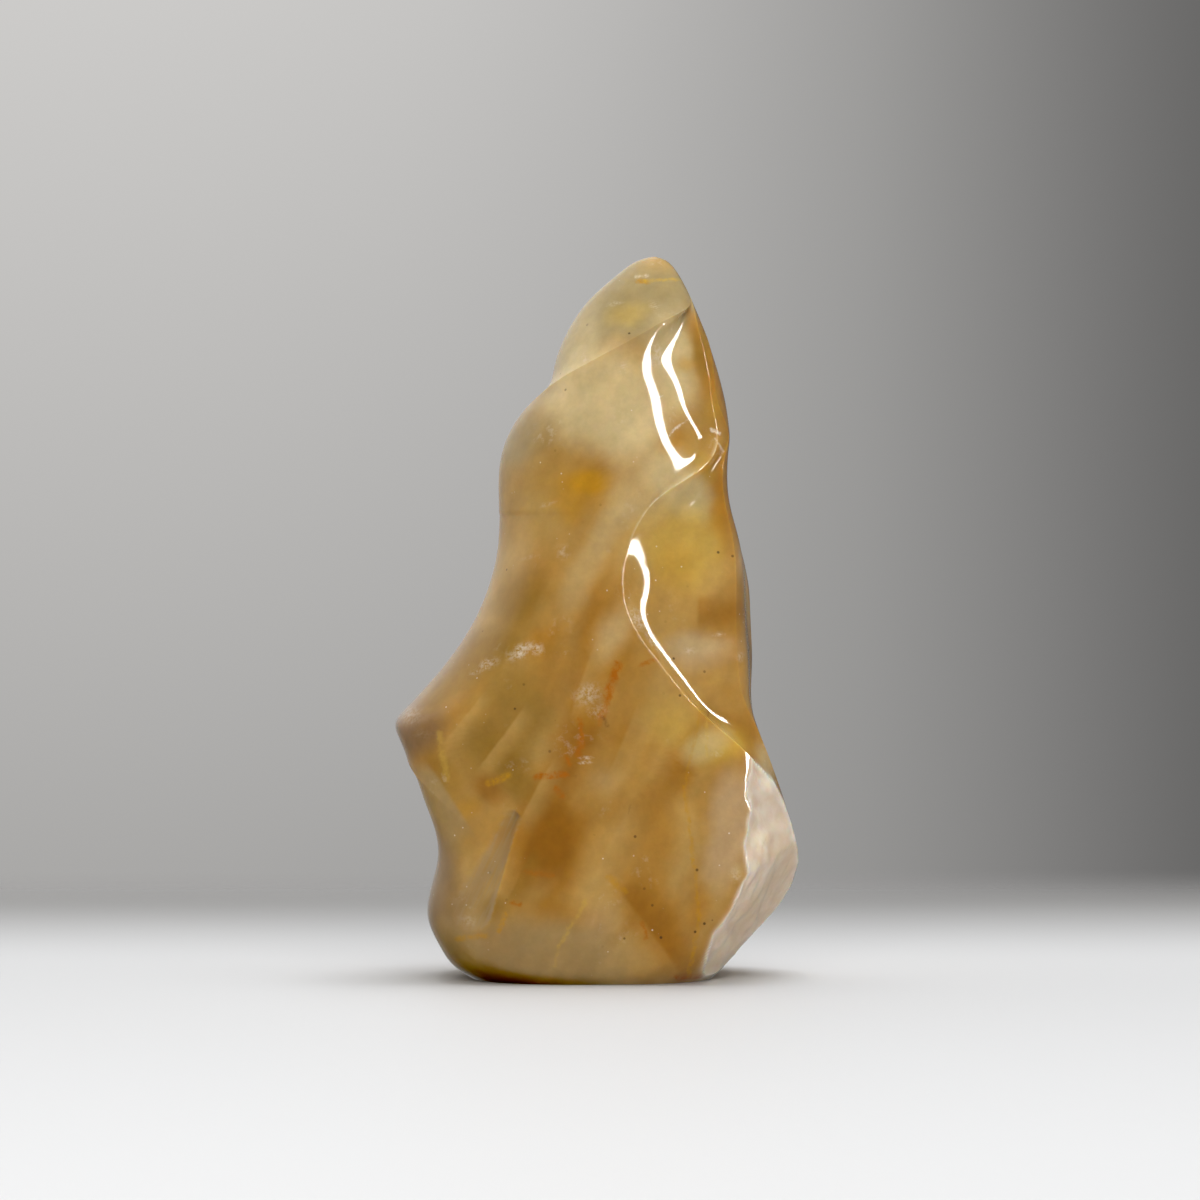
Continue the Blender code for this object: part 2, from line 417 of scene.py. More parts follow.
# The turn of each crest along the height. 180 is left, 270 is front and 360 is right.
CRESTS = {
    "back": Track((
        (0, 100), (12, 104), (22, 112), (30, 118), (38, 108), (48, 88), (60, 78), (70, 84), (80, 100),
        (88, 122), (95, 150), (100, 160),
    )),
    "left": Track((
        (0, 242), (8, 241), (16, 238), (20, 235), (23, 231), (25.5, 227), (28.7, 218), (32, 198), (35, 181),
        (39, 171), (46, 160), (56, 154), (66, 158), (74, 168), (78.5, 182), (81.2, 202), (84.3, 236), (88, 270),
        (91.2, 300), (94.5, 340), (100, 348),
    )),
    "front": Track((
        (0, 305), (10, 307), (19, 310), (25, 315), (28, 318), (33, 312), (38.7, 302), (44, 290), (48, 280),
        (52.5, 272), (56, 270), (60, 273), (64.2, 282), (66, 288), (71, 312), (73, 318), (75, 322), (80, 317),
        (84.3, 319), (89, 323), (91.2, 326), (93.5, 338), (96, 350), (100, 354),
    )),
    "right": Track((
        (0, 345), (26, 343), (29, 338), (32, 332), (35, 326), (38, 321), (41, 318), (44, 317), (50, 318),
        (58, 319), (64, 319), (69, 319.5), (71.5, 322), (75, 333), (80, 321), (84.3, 325), (89, 337),
        (93.5, 345), (96, 354), (100, 360),
    )),
    "far_right": Track((
        (0, 352), (6, 352), (13, 356), (18, 360), (24, 364), (32, 368), (40, 366), (46, 364), (52, 368),
        (58, 378), (65, 394), (72, 412), (80, 420), (88, 404), (94, 396), (100, 400),
    )),
}

# How square the right half of the lump's front is, as the power of its outline.
CORNER = Track((
    (0, 2.6), (8, 4.4), (20, 5.4), (31, 6), (38, 5), (45, 4.2), (50, 3.6), (56, 3.3), (64, 3.7), (70, 3.5),
    (76, 2.2), (84, 2.4), (89, 3), (94, 3.4), (100, 2.4),
))

# Where the top flute eases out of the front face with no crest.
SHOULDER = Track((
    (60, 276), (66, 284), (69, 285), (72, 275), (75, 259), (79, 251), (84, 250), (87, 262), (89, 277),
    (91.2, 302), (94.5, 340), (100, 348),
))

# Where the flat beside the lower front crest starts.
BROW = Track(((0, 285), (24, 292), (28, 296), (33, 292), (38, 285), (44, 275), (100, 275)))

SCOOPS = (
    Scoop("back", "left", hump(
        (34, 0), (40, 2), (46, 3.2), (56, 3.2), (66, 3), (74, 2.6), (80, 1.8), (86, 1.6), (92, 1.2), (97, 0.5),
    )),
    Scoop("back", "left", hump(
        (8, 0), (12, 0.8), (18, 2.2), (22, 2.2), (25, 1.9), (29, 1.6), (38, 1.4), (46, 0),
    ), lean=0.66),
    Scoop("front", "right", hump(
        (36.6, 0), (38.4, 0.1), (41, 1.35), (45, 1.6), (50, 1.7), (54, 1.75), (57, 1.5), (60, 0.95), (64, 0.35),
        (68, 0),
    ), shape=hump((15, 0.46), (35, 0.84), (58, 1), (78, 0.78), (92, 0.36))),
    Scoop("front", "right", hump(
        (50, 0), (55, 0.3), (59, 0.9), (63, 1.8), (66.5, 2.1), (69.5, 1.4), (72, 0.3), (75, 0),
    ), lean=0.68),
    Scoop("front", "right", hump(
        (22, 0), (28, 0.8), (31, 1.5), (34, 2), (38, 1.5), (40.6, 0.4), (42, 0),
    ), lean=0.34),
    Scoop("front", "right", hump(
        (36, 0), (41.8, 0.15), (46, 0.25), (50.4, 0.5), (52.5, 0.55), (55, 0.55), (57, 0.45), (59, 0.1),
        (61, 0),
    ), shape=hump((8, 0.48), (16, 0.83), (30, 1), (44, 0.8), (60, 0.3), (75, 0))),
    Scoop("front", "right", hump(
        (50.5, 0), (52.6, 0.5), (54.4, 0.75), (56, 0.62), (58, 0.2), (60, 0),
    ), shape=hump(
        (6, 0.12), (13, 0.27), (20, 0.46), (28, 0.72), (35, 0.93), (42, 1), (56, 0.7), (72, 0.2), (85, 0),
    )),
    Scoop("brow", "front", hump((22, 0), (26, 0.4), (31, 0.5), (36, 0.35), (40, 0.1), (43, 0))),
    Scoop("shoulder", "front", hump(
        (63, 0), (67, 0.4), (70, 0.9), (74, 1.5), (78, 1.8), (82, 1.3), (86, 0.4), (90, 0),
    ), shape=hump((20, 0.04), (38, 0.24), (50, 0.46), (64, 0.76), (76, 0.95), (84, 1), (93, 0.7))),
    Scoop("shoulder", "front", hump((76, 0), (79, 0.3), (82, 0.9), (86, 1.7), (89, 1.7), (92, 0.9), (95, 0)),
          shape=hump((18, 0.06), (32, 0.26), (44, 0.58), (56, 0.86), (66, 0.98), (73, 1), (86, 0.7))),
    Scoop("left", "front", hump((87.5, 0), (89.5, 0.3), (92, 0.5), (94, 0.3), (96, 0)),
          shape=hump((20, 0.6), (45, 1), (70, 0.7))),
    Scoop("right", "far_right", hump(
        (30, 0), (38, 0.5), (46, 0.8), (52, 1), (60, 1.2), (70, 1.6), (78, 1.6), (88, 1), (95, 0.3),
    )),
    Scoop("far_right", "back", hump(
        (8, 0), (12, 0.4), (20, 1.8), (30, 3), (40, 3.4), (50, 3.2), (60, 3), (70, 3), (80, 2.4), (90, 1.4),
        (96, 0.4),
    )),
)

RAW_CUTS = (
    FlatCut((22.6, -16.4, 19.0), facing=330.0, tilt=4.0, relief=0.30),
    FlatCut((26.6, -9.8, 17.6), facing=339.0, tilt=-29.0, relief=0.22),
)

THUMB_CUT = ThumbCut((-15.9, -18.0, 10.2), (-10.4, -18.6, 23.0), 2.9, 0.9, 1.1)


@dataclass(frozen=True)
class FlameForm:
    """The stone's surface: a loft of rings whose columns follow the crests."""

    rows: int = 330
    columns: tuple[int, ...] = (60, 60, 36, 34, 50)
    crowding: float = 0.72
    crest_softness: float = 0.8
    corner_softness: float = 1.5
    depth_softness: float = 1.4
    lump_softness: float = 1.6
    relief_spans: tuple[float, float] = (3.4, 1.3)
    relief_seeds: tuple[int, int] = (11, 31)
    fine_relief: float = 0.45
    raw_border: float = 0.08
    rim_inside: float = 0.34
    rim_outside: float = 0.20
    thumb_border: float = 0.12
    keen_crests: tuple[tuple[str, float, float], ...] = (("front", 20.0, 38.2), ("right", 36.0, 70.0))
    # The pale line on the front crest: partly worn scuffs, partly a painted highlight where the crest's
    # rounding catches the light.
    worn_and_highlight_softness: float = 0.5
    worn_and_highlight_profile: Triple = (0.4, 1.0, 0.4)
    worn_and_highlight_crest: Track = Track(((0, 0), (40, 0), (45, 0.5), (61, 0.5), (65, 1), (73, 1), (75, 0), (100, 0)))

    def lump_rows(self) -> np.ndarray:
        """The lump's rings, evenly spaced along its outline, on a smooth curve through its stations.

        Returns:
            Rows of left, right, height, front, back and squareness.
        """
        points = np.array([(r.left, r.right, r.height, r.front, r.back, r.squareness) for r in LUMP])
        steps = np.linalg.norm(np.diff(points[:, :3], axis=0), axis=1)
        places = np.concatenate([[0], np.cumsum(steps)])
        system, pull = np.eye(len(points)), np.zeros_like(points)
        for i in range(1, len(points) - 1):
            system[i, i - 1 : i + 2] = steps[i - 1], 2 * (steps[i - 1] + steps[i]), steps[i]
            ahead, behind = points[i + 1] - points[i], points[i] - points[i - 1]
            pull[i] = 6 * (ahead / steps[i] - behind / steps[i - 1])
        bend = np.linalg.solve(system, pull)
        place = np.linspace(0, places[-1], self.rows)
        at = np.clip(np.searchsorted(places, place) - 1, 0, len(steps) - 1)
        step, gone, left = (n[:, None] for n in (steps[at], place - places[at], places[at + 1] - place))
        rows = (
            (bend[at] * left**3 + bend[at + 1] * gone**3) / (6 * step)
            + (points[at] / step - bend[at] * step / 6) * left
            + (points[at + 1] / step - bend[at + 1] * step / 6) * gone
        )
        spread = self.lump_softness / (places[-1] / self.rows)
        for column in (1, 3, 4, 5):
            rows[:, column] = softened(rows[:, column], spread)
        return rows

    def column_turns(self, crests: np.ndarray) -> np.ndarray:
        """The turn of every column of every ring.

        Args:
            crests: The turns of the crests, one row to a ring.

        Returns:
            The columns' turns, one row to a ring.
        """
        edges = np.column_stack([crests, crests[:, 0] + 360])
        faces = []
        for i, count in enumerate(self.columns):
            share = np.arange(count) / count
            share = share - self.crowding * np.sin(2 * pi * share) / (2 * pi)
            faces.append(edges[:, i, None] + (edges[:, i + 1] - edges[:, i])[:, None] * share)
        return np.column_stack(faces)

    def surface(self) -> tuple[np.ndarray, np.ndarray, np.ndarray]:
        """The stone's surface.

        Returns:
            The points, in millimetres, as rings of columns, how deep each lies under the lump's skin in a raw
            cut, less than nothing outside it, and how deep each lies in the thumb cut.
        """
        left, right, heights, front, back, squareness = (column[:, None] for column in self.lump_rows().T)
        level = heights[:, 0]
        tracks = {**CRESTS, "shoulder": SHOULDER, "brow": BROW}
        edges = {name: track.at(level, self.crest_softness)[:, None] for name, track in tracks.items()}
        turns = self.column_turns(np.column_stack([edges[name] for name in CRESTS]))
        angle = np.radians(turns)
        across, along = np.cos(angle), np.sin(angle)
        corner = CORNER.at(level, self.corner_softness)[:, None]
        power = np.where(along < 0, np.where(across > 0, corner, squareness), 2)
        swell = (np.abs(across) ** power + np.abs(along) ** power) ** (-1 / power)
        spokes = np.stack([(right - left) / 2 * across, (back - front) / 2 * along], axis=-1) * swell[..., None]
        reach = np.linalg.norm(spokes, axis=-1)
        directions = np.concatenate([spokes / reach[..., None], np.zeros((*reach.shape, 1))], axis=-1)
        middles = np.stack(np.broadcast_arrays((left + right) / 2, (front + back) / 2, heights), axis=-1)
        for scoop in SCOOPS:
            start, end = edges[scoop.start], edges[scoop.end]
            end = end + 360 * (end < start)
            share = np.minimum((turns - start) % 360 / (end - start), 1)
            reach = reach - scoop.depth.at(level, self.depth_softness)[:, None] * scoop.profile(share)
        points = middles + directions * reach[..., None]
        limit = np.full_like(reach, np.inf)
        for number, cut in enumerate(RAW_CUTS):
            waves = zip(self.relief_spans, self.relief_seeds)
            coarse, fine = (wandering(points, span, seed + number) for span, seed in waves)
            relief = cut.relief * (coarse + self.fine_relief * fine)
            limit = np.minimum(limit, cut.room(middles, directions) + relief)
        sunk = reach - limit
        reach = np.minimum(reach, limit)
        points = middles + directions * reach[..., None]
        thumb = THUMB_CUT.depths(points)
        return points - directions * thumb[..., None], sunk, thumb

    def mesh(self) -> bpy.types.Mesh:
        """The surface as a closed mesh in metres, with its raw patch marked.

        Returns:
            The mesh. Its attributes raw and rim say where the stone is unpolished and where that patch ends,
            thumb says where the short groove is, and crest follows the stretch of the front crest that is
            painted pale, partly as wear and partly as a painted highlight.
        """
        points, sunk, thumb = self.surface()
        rows, columns = sunk.shape
        bottom, top = points[0].mean(axis=0), points[-1].mean(axis=0)
        verts = np.concatenate([points.reshape(-1, 3), [bottom, top]]) * MM
        foot, tip = rows * columns, rows * columns + 1
        here = np.arange(columns)
        before = np.roll(here, 1)
        faces = []
        for row in range(rows - 1):
            below, above = row * columns, (row + 1) * columns
            faces += np.column_stack([below + before, below + here, above + here, above + before]).tolist()
        last = (rows - 1) * columns
        faces += [(foot, int(b), int(a)) for a, b in zip(before, here)]
        faces += [(last + int(a), last + int(b), tip) for a, b in zip(before, here)]
        mesh = bpy.data.meshes.new("polished_flame")
        mesh.from_pydata(verts.tolist(), [], faces)
        crest = np.zeros_like(sunk)
        at = sum(self.columns[: list(CRESTS).index("front")])
        worn_and_highlight = self.worn_and_highlight_crest.at(points[:, 0, 2], self.worn_and_highlight_softness)
        crest[:, at - 1 : at + 2] = np.outer(worn_and_highlight, self.worn_and_highlight_profile)
        sunk, thumb, crest = (np.append(mark.ravel(), [0, 0]) for mark in (sunk, thumb, crest))
        marks = {
            "raw": np.clip(sunk / self.raw_border, 0, 1),
            "rim": np.exp(-np.abs(sunk) / np.where(sunk > 0, self.rim_inside, self.rim_outside)),
            "thumb": np.clip(thumb / self.thumb_border, 0, 1),
            "crest": crest,
        }
        for name, values in marks.items():
            mesh.attributes.new(name, "FLOAT", "POINT").data.foreach_set("value", values.astype(np.float32))
        mesh.shade_smooth()
        sharp = mesh.attributes.new("sharp_edge", "BOOLEAN", "EDGE")
        ends = np.empty(2 * len(mesh.edges), np.int32)
        mesh.edges.foreach_get("vertices", ends)
        ends = ends.reshape(-1, 2)
        keen = (ends < columns).all(axis=1)
        column, height = ends % columns, verts[ends, 2] / MM
        for name, low, high in self.keen_crests:
            at = sum(self.columns[: list(CRESTS).index(name)])
            keen |= ((column == at) & (height > low) & (height < high)).all(axis=1)
        sharp.data.foreach_set("value", keen)
        mesh.validate()
        return mesh


# ----------------------------------------
# The finish of the stone
# ----------------------------------------


class Tint(Enum):
    """The colours inside the quartz. Some are also laid as painted shade, and some as painted light."""

    GOLD = (0.47, 0.230, 0.026)
    HONEY = (0.58, 0.365, 0.108)
    AMBER = (0.36, 0.150, 0.006)
    OLIVE = (0.34, 0.185, 0.020)
    ORANGE = (0.62, 0.315, 0.010)
    YELLOW = (0.70, 0.465, 0.080)
    BEIGE = (0.71, 0.560, 0.290)
    ROSE = (0.60, 0.410, 0.205)
    SAND = (0.46, 0.314, 0.128)
    # A dull brown that is partly the stone's own colour and partly painted shade, laid on the edges and the
    # foot.
    CLAY_AND_SHADE = (0.290, 0.167, 0.066)
    CLEAR = (0.45, 0.352, 0.170)
    IRON = (0.50, 0.160, 0.003)
    FROST = (0.92, 0.810, 0.650)
    SPECK = (0.07, 0.033, 0.010)

    @property
    def rgba(self) -> tuple[float, float, float, float]:
        """The colour with full alpha."""
        return (*self.value, 1.0)


@dataclass(frozen=True)
class Cloud:
    """A soft cloud of colour inside the stone, round a centre, in millimetres.

    Lean turns it in the plane of the front, in degrees. Core is the share of its reach that has full colour.
    """

    tint: Tint
    centre: Triple
    reach: Triple
    strength: float
    lean: float = 0.0
    core: float = 0.2

    def inputs(self) -> dict[str, Any]:
        """What its node group is told, in metres and radians."""
        centre, reach = Vector(self.centre) * MM, Vector(self.reach) * MM
        return {"Centre": centre, "Reach": reach, "Lean": radians(self.lean), "Core": self.core}


@dataclass(frozen=True)
class Veil:
    """A flat fracture inside the stone: colour that starts at a straight edge and fades away on one side.

    Length is half the edge's length and fade is how far the colour reaches, in millimetres: to the right of the
    edge, or to the left of it where it is negative. Lean is the edge's, in degrees.
    """

    centre: Triple
    length: float
    fade: float
    tint: Tint
    strength: float
    lean: float = 28.0

    def inputs(self) -> dict[str, Any]:
        """What its node group is told, in metres and radians."""
        centre, lean = Vector(self.centre) * MM, radians(self.lean)
        return {"Centre": centre, "Lean": lean, "Length": self.length * MM, "Fade": self.fade * MM}


@dataclass(frozen=True)
class Vein:
    """A thin sheet of colour that comes out of the stone along a line, in millimetres."""

    tint: Tint
    start: Triple
    end: Triple
    width: float
    strength: float

    def inputs(self) -> dict[str, Any]:
        """What its node group is told, in metres."""
        start, end = Vector(self.start) * MM, Vector(self.end) * MM
        return {"Start": start, "Run": end - start, "Width": self.width * MM}


def made(kind: type, *rows: tuple[Any, ...]) -> tuple[Any, ...]:
    """Clouds or veins from rows of a tint, the six numbers of the two triples, and the other fields."""
    return tuple(kind(tint, tuple(row[:3]), tuple(row[3:6]), *row[6:]) for tint, *row in rows)


CLOUDS = made(
    Cloud,
    # The clearer tip: its own paler colour, and partly painted light for the light that shines through the thin
    # top.
    (Tint.CLEAR, 6, 0, 94.5, 15, 20, 11, 0.95, 0, 0.6),
    (Tint.CLEAR, -3.4, -4, 86.6, 6, 30, 9, 0.85, 26, 0.5),
    (Tint.BEIGE, -2.6, -4, 88, 4.6, 30, 9, 0.45, 26, 0.4),
    (Tint.HONEY, 9, -1, 99.6, 5, 9, 3.4, 0.5),
    (Tint.YELLOW, 5, -6, 91.4, 4.2, 7, 3, 0.4),
    # The shoulder and the upper body, paler towards the top: partly their own colour, partly painted light that
    # shines through the thinner stone.
    (Tint.BEIGE, 2, -8, 79, 12, 14, 10, 0.92, 24, 0.5),
    (Tint.CLEAR, -9.5, -6, 75, 6, 16, 8, 0.9, 20, 0.3),
    (Tint.OLIVE, -8, -10, 76.6, 5.4, 20, 8, 0.34, 20, 0.3),
    (Tint.YELLOW, 15.6, -8, 70.6, 2.8, 12, 3.2, 0.5),
    (Tint.HONEY, -11.5, -6, 66, 4.5, 16, 9, 0.7),
    (Tint.BEIGE, 6, -10, 75.5, 7, 12, 7.5, 0.95, 0, 0.3),
    (Tint.BEIGE, 11.5, -7, 84, 5, 12, 11, 0.9, -14, 0.3),
    (Tint.HONEY, -10.5, -8, 58, 4, 14, 6, 0.4, 8),
    (Tint.ORANGE, -1, -12, 67.4, 8, 12, 4.2, 0.35, 4),
    (Tint.ORANGE, -0.4, -12, 68.2, 5.2, 10, 2.2, 0.9, -6, 0.3),
    (Tint.ORANGE, -3, -12, 65, 3.4, 9, 3.6, 0.5, 20),
    # The pale sheet that climbs through the middle.
    (Tint.BEIGE, 3, -13, 62.5, 3, 12, 7, 0.4, 34),
    (Tint.BEIGE, -1.2, -13, 55, 3.4, 12, 9, 0.36, 24),
    (Tint.BEIGE, 3.4, -13, 47.6, 3.6, 12, 7, 0.6, 16),
    (Tint.HONEY, -3, -13, 46, 2.6, 12, 9, 0.35, 24),
    # The right scoop and the golden edge behind it.
    (Tint.BEIGE, 12, -10, 68, 8, 10, 5, 0.9, 50, 0.4),
    (Tint.YELLOW, 12.6, -12, 59.5, 7.5, 14, 9.5, 0.62, 0, 0.3),
    (Tint.ORANGE, 12, -12, 56.5, 5, 14, 5.5, 0.25),
    (Tint.GOLD, 17.4, -4, 84, 2.8, 12, 12, 0.85, -15, 0.4),
    (Tint.OLIVE, 15.2, -5, 87.4, 1.9, 12, 6, 0.85, -16, 0.3),
    (Tint.GOLD, 13.4, -6, 90.6, 1.8, 12, 3.6, 0.6, -16),
    (Tint.YELLOW, 17.6, -6, 79, 1.8, 12, 3.4, 0.35),
    (Tint.BEIGE, 6.6, -12, 66.6, 6.4, 14, 6.4, 0.5, 30),
    (Tint.ORANGE, 13.2, -8, 85.2, 2.6, 8, 1.4, 0.45, -4),
    (Tint.GOLD, 18.8, -6, 64, 2.6, 10, 12, 0.8, 0, 0.4),
    (Tint.ORANGE, 17.4, -8, 62, 1.8, 10, 8, 0.4),
    (Tint.AMBER, 17.6, -8, 50.4, 4.4, 10, 3, 0.6, 0, 0.5),
    (Tint.ROSE, 14.8, -10, 45.2, 7.4, 14, 3.6, 0.92, -6, 0.3),
    (Tint.BEIGE, 14.6, -10, 45.4, 5.6, 14, 2.4, 0.45, -6),
    (Tint.CLAY_AND_SHADE, 22.4, -4, 46, 2.4, 12, 9, 0.6),
    (Tint.GOLD, 18.4, -8, 39.6, 4.6, 8, 3.4, 0.85, 0, 0.3),
    (Tint.YELLOW, 16.4, -8, 41, 3, 8, 1.4, 0.5),
    (Tint.YELLOW, 11, -14, 36, 6, 10, 5.6, 0.5),
    # The left flank and the bump.
    (Tint.OLIVE, -9.5, -12, 52, 6, 12, 7, 0.8, 40),
    (Tint.OLIVE, -15, -12, 45, 6, 12, 4.6, 0.7, 48),
    (Tint.OLIVE, -10, -14, 37, 9, 12, 9, 0.85, 30, 0.3),
    (Tint.GOLD, -5, -14, 42, 5, 12, 7, 0.7, 20),
    (Tint.OLIVE, -11.6, -14, 46.4, 3.6, 20, 4, 0.85, 40),
    (Tint.HONEY, -6, -14, 50, 2.6, 20, 3.6, 0.4, 20),
    (Tint.OLIVE, -11, -14, 29.5, 9, 14, 4.8, 0.9, 52, 0.3),
    (Tint.OLIVE, -15, -14, 31.4, 4.4, 20, 7, 0.7, 20, 0.3),
    (Tint.AMBER, -13.8, -14, 26, 3.4, 20, 3, 0.75, 30, 0.3),
    (Tint.AMBER, -2, -14, 35, 5, 10, 12, 0.92, 10, 0.3),
    (Tint.AMBER, -2.4, -15, 31, 5, 12, 8, 0.6, 20),
    (Tint.ORANGE, -1, -14, 37.5, 3, 10, 4, 0.35, 20),
    (Tint.ORANGE, -16.6, -14, 23.6, 2.8, 10, 2.2, 0.5, 20),
    # Under the left crest, and round the thumb cut. The clay clouds here are partly the stone's own colour and
    # partly painted shade on the lower left edge, the bump and the foot.
    (Tint.SAND, -20.8, -12, 23.4, 3.4, 30, 8, 0.85, -24, 0.5),
    (Tint.CLAY_AND_SHADE, -24, -8, 35.6, 6.4, 30, 6.6, 0.95, 0, 0.6),
    (Tint.OLIVE, -18.6, -8, 42, 4, 30, 9, 0.85, 40, 0.4),
    (Tint.OLIVE, -20.8, -10, 39.8, 3.6, 30, 3.6, 0.8, 30, 0.4),
    (Tint.CLAY_AND_SHADE, -22.6, -12, 10, 7.6, 30, 14, 0.95, 0, 0.6),
    (Tint.CLAY_AND_SHADE, -12, -14, 4, 7, 30, 5.6, 0.5, 0, 0.4),
    (Tint.SAND, -21, -12, 9, 9, 30, 13, 0.36, 0, 0.6),
    # The deep amber of the belly, and the pale foot.
    (Tint.AMBER, -5, -14, 19.5, 5.5, 12, 9.5, 1.1, 26, 0.4),
    (Tint.ROSE, 2.4, -14, 28.4, 3.4, 10, 3.6, 0.45),
    (Tint.AMBER, 4.2, -14, 24, 3, 12, 3.6, 0.3, 20),
    (Tint.GOLD, 15.2, -14, 10, 2.4, 14, 5.4, 0.85, 10, 0.3),
    (Tint.GOLD, 8.6, -14, 19, 5.4, 10, 14, 0.9, 0, 0.4),
    (Tint.AMBER, 9, -14, 17.4, 3.8, 12, 4.6, 0.4, 20),
    (Tint.OLIVE, -12.4, -14, 9.6, 3.2, 20, 3, 0.75, 40),
    (Tint.OLIVE, -19.4, -12, 27.8, 2.4, 30, 5, 0.6, -24, 0.3),
    (Tint.SAND, -4, -14, 3.4, 15, 14, 8.4, 0.9, 0, 0.5),
    (Tint.ROSE, 1.6, -14, 9, 4.6, 12, 6, 0.4, 32, 0.3),
    # Painted light: this pale cloud lifts the downward-facing lower left of the foot out of its shade.
    (Tint.SAND, -19, -10, 3.4, 8, 30, 7, 0.85, 0, 0.4),
    (Tint.GOLD, 8, -14, 11, 5.6, 14, 13, 0.9, -32, 0.4),
    (Tint.AMBER, 9.6, -14, 7, 5, 14, 8, 0.28, -34, 0.4),
    # The rosy right flank beside the raw patch.
    (Tint.ROSE, 18.6, -14, 20.5, 4.4, 14, 11.5, 0.95, 8, 0.5),
    (Tint.BEIGE, 20.4, -14, 15, 2.2, 10, 2.2, 0.5),
    (Tint.BEIGE, 24, -8, 30.4, 3, 14, 4, 0.6),
    (Tint.ROSE, 21.4, -6, 57, 2.4, 12, 6, 0.8, 0, 0.3),
    (Tint.YELLOW, 17, -14, 32.4, 6, 20, 4.2, 0.85),
    (Tint.BEIGE, 15.8, -14, 32.6, 4.8, 20, 3.4, 0.62, -30),
    # The sides and the back.
    (Tint.AMBER, 2, 16, 30, 12, 14, 16, 0.7, -20),
    (Tint.ROSE, 8, 16, 12, 16, 12, 9, 0.7),
    (Tint.BEIGE, -6, 14, 52, 6, 12, 15, 0.7, -24),
    (Tint.ORANGE, 10, 12, 62, 7, 10, 10, 0.6, -10),
)

# Puffs of fine frost: bubbles and healed cracks just under the polish.
WISPS = made(Cloud, *((Tint.FROST, *row) for row in (
    (-9.4, -15, 45.2, 1.1, 9, 2.4, 1, 50),
    (-7.4, -15, 45.6, 0.9, 9, 1.5, 0.8, -50),
    (-14, -15, 43.5, 0.9, 9, 1.8, 0.7, 60),
    (-15.9, -15, 42.4, 0.8, 9, 0.6, 0.55),
    (-5.8, -15, 65.2, 1.2, 9, 0.5, 0.55, -20),
    (-3.7, -15, 58.8, 0.8, 9, 1.5, 0.45, -16),
    (-8.5, -15, 58, 1.4, 9, 0.4, 0.4, -10),
    (-24.2, -8, 36.2, 2.2, 12, 2, 0.42, 30),
    (-22.6, -8, 34, 1.6, 12, 1.4, 0.4),
    (-0.2, -15, 39.4, 2.6, 9, 2, 0.6, -30),
    (1, -15, 37.2, 1.2, 9, 1.4, 0.55),
    (-0.6, -15, 30.4, 0.45, 9, 1.1, 1.3, 28, 0.5),
    (19.8, -15, 15, 1.6, 9, 1.1, 0.55, 60),
    (17.6, -12, 47.5, 1, 9, 0.4, 0.85),
    (13.6, -12, 45.2, 1.4, 9, 0.8, 0.5),
    (20.6, -12, 44.4, 1, 9, 1, 0.4),
    (17.2, -12, 31.3, 1.2, 9, 0.8, 0.8, -20),
    (3.4, -8, 93.2, 1.3, 9, 0.5, 0.6),
    (8.9, -8, 92.8, 0.6, 9, 1, 0.65, -30),
    (9.2, -9, 86, 1.2, 9, 2.4, 0.45),
    (4.6, -10, 84, 0.6, 9, 1.2, 0.4, -24),
    (-16.4, -18, 8.6, 1.6, 9, 1, 0.45, 20),
    (6.4, -16, 49.6, 1.4, 6, 2.6, 0.6, -34),
    (8.6, -16, 46.4, 0.6, 6, 2.6, 0.45, -36),
)))

VEILS = (
    Veil((1.6, -15, 17.6), 9, 5, Tint.HONEY, 0.6),
    Veil((-7.6, -15, 26.4), 6.5, 3.6, Tint.HONEY, 0.55),
    Veil((-12.4, -15, 33.4), 6.5, 3, Tint.HONEY, 0.6, lean=36),
    Veil((-17, -15, 36.4), 5, 2.4, Tint.HONEY, 0.45, lean=38),
    Veil((7.6, -15, 7.6), 8.6, 6, Tint.AMBER, 0.7, lean=-36),
    Veil((14.4, -12, 50.6), 2.8, 5, Tint.AMBER, 0.5, lean=2),
    Veil((-1, -14, 42), 7, 3.6, Tint.HONEY, 0.45, lean=20),
    Veil((3.6, -14, 32), 8, 4, Tint.HONEY, 0.45, lean=24),
    Veil((-18.6, -16, 25.6), 7, -5, Tint.SAND, 0.85, lean=-34),
    Veil((-9.6, -15, 15), 5, 3.4, Tint.OLIVE, 0.5, lean=26),
    Veil((6, 15, 40), 14, 6, Tint.HONEY, 0.55, lean=-30),
    Veil((-4, 15, 24), 10, -6, Tint.HONEY, 0.5, lean=-24),
)

# The facets of the raw patch, told apart by creases and stains, and by rosier, darker veils that are partly
# painted shade.
FACETS = (
    Veil((24.2, -10, 14.8), 13, 9, Tint.ROSE, 0.34, lean=41),
    Veil((25.4, -9, 24), 9, 7, Tint.ROSE, 0.16, lean=14),
)

CREASES = made(
    Vein,
    (Tint.FROST, 28.4, -6, 19, 24.6, -10, 15.6, 0.4, 0.9),
    (Tint.FROST, 24.6, -10, 15.6, 20.4, -14, 10, 0.4, 0.9),
    (Tint.ROSE, 26.6, -8, 26, 24, -12, 20, 0.35, 0.3),
    (Tint.ROSE, 24, -12, 20, 22.8, -13, 15, 0.3, 0.35),
    (Tint.ROSE, 27.4, -6, 13.6, 22.6, -12, 6, 0.5, 0.35),
    (Tint.SPECK, 28.4, -6, 19.4, 28.7, -5, 18.2, 0.55, 0.6),
    (Tint.YELLOW, 27.6, -7, 18.4, 26.6, -8, 17.4, 1.1, 0.25),
)

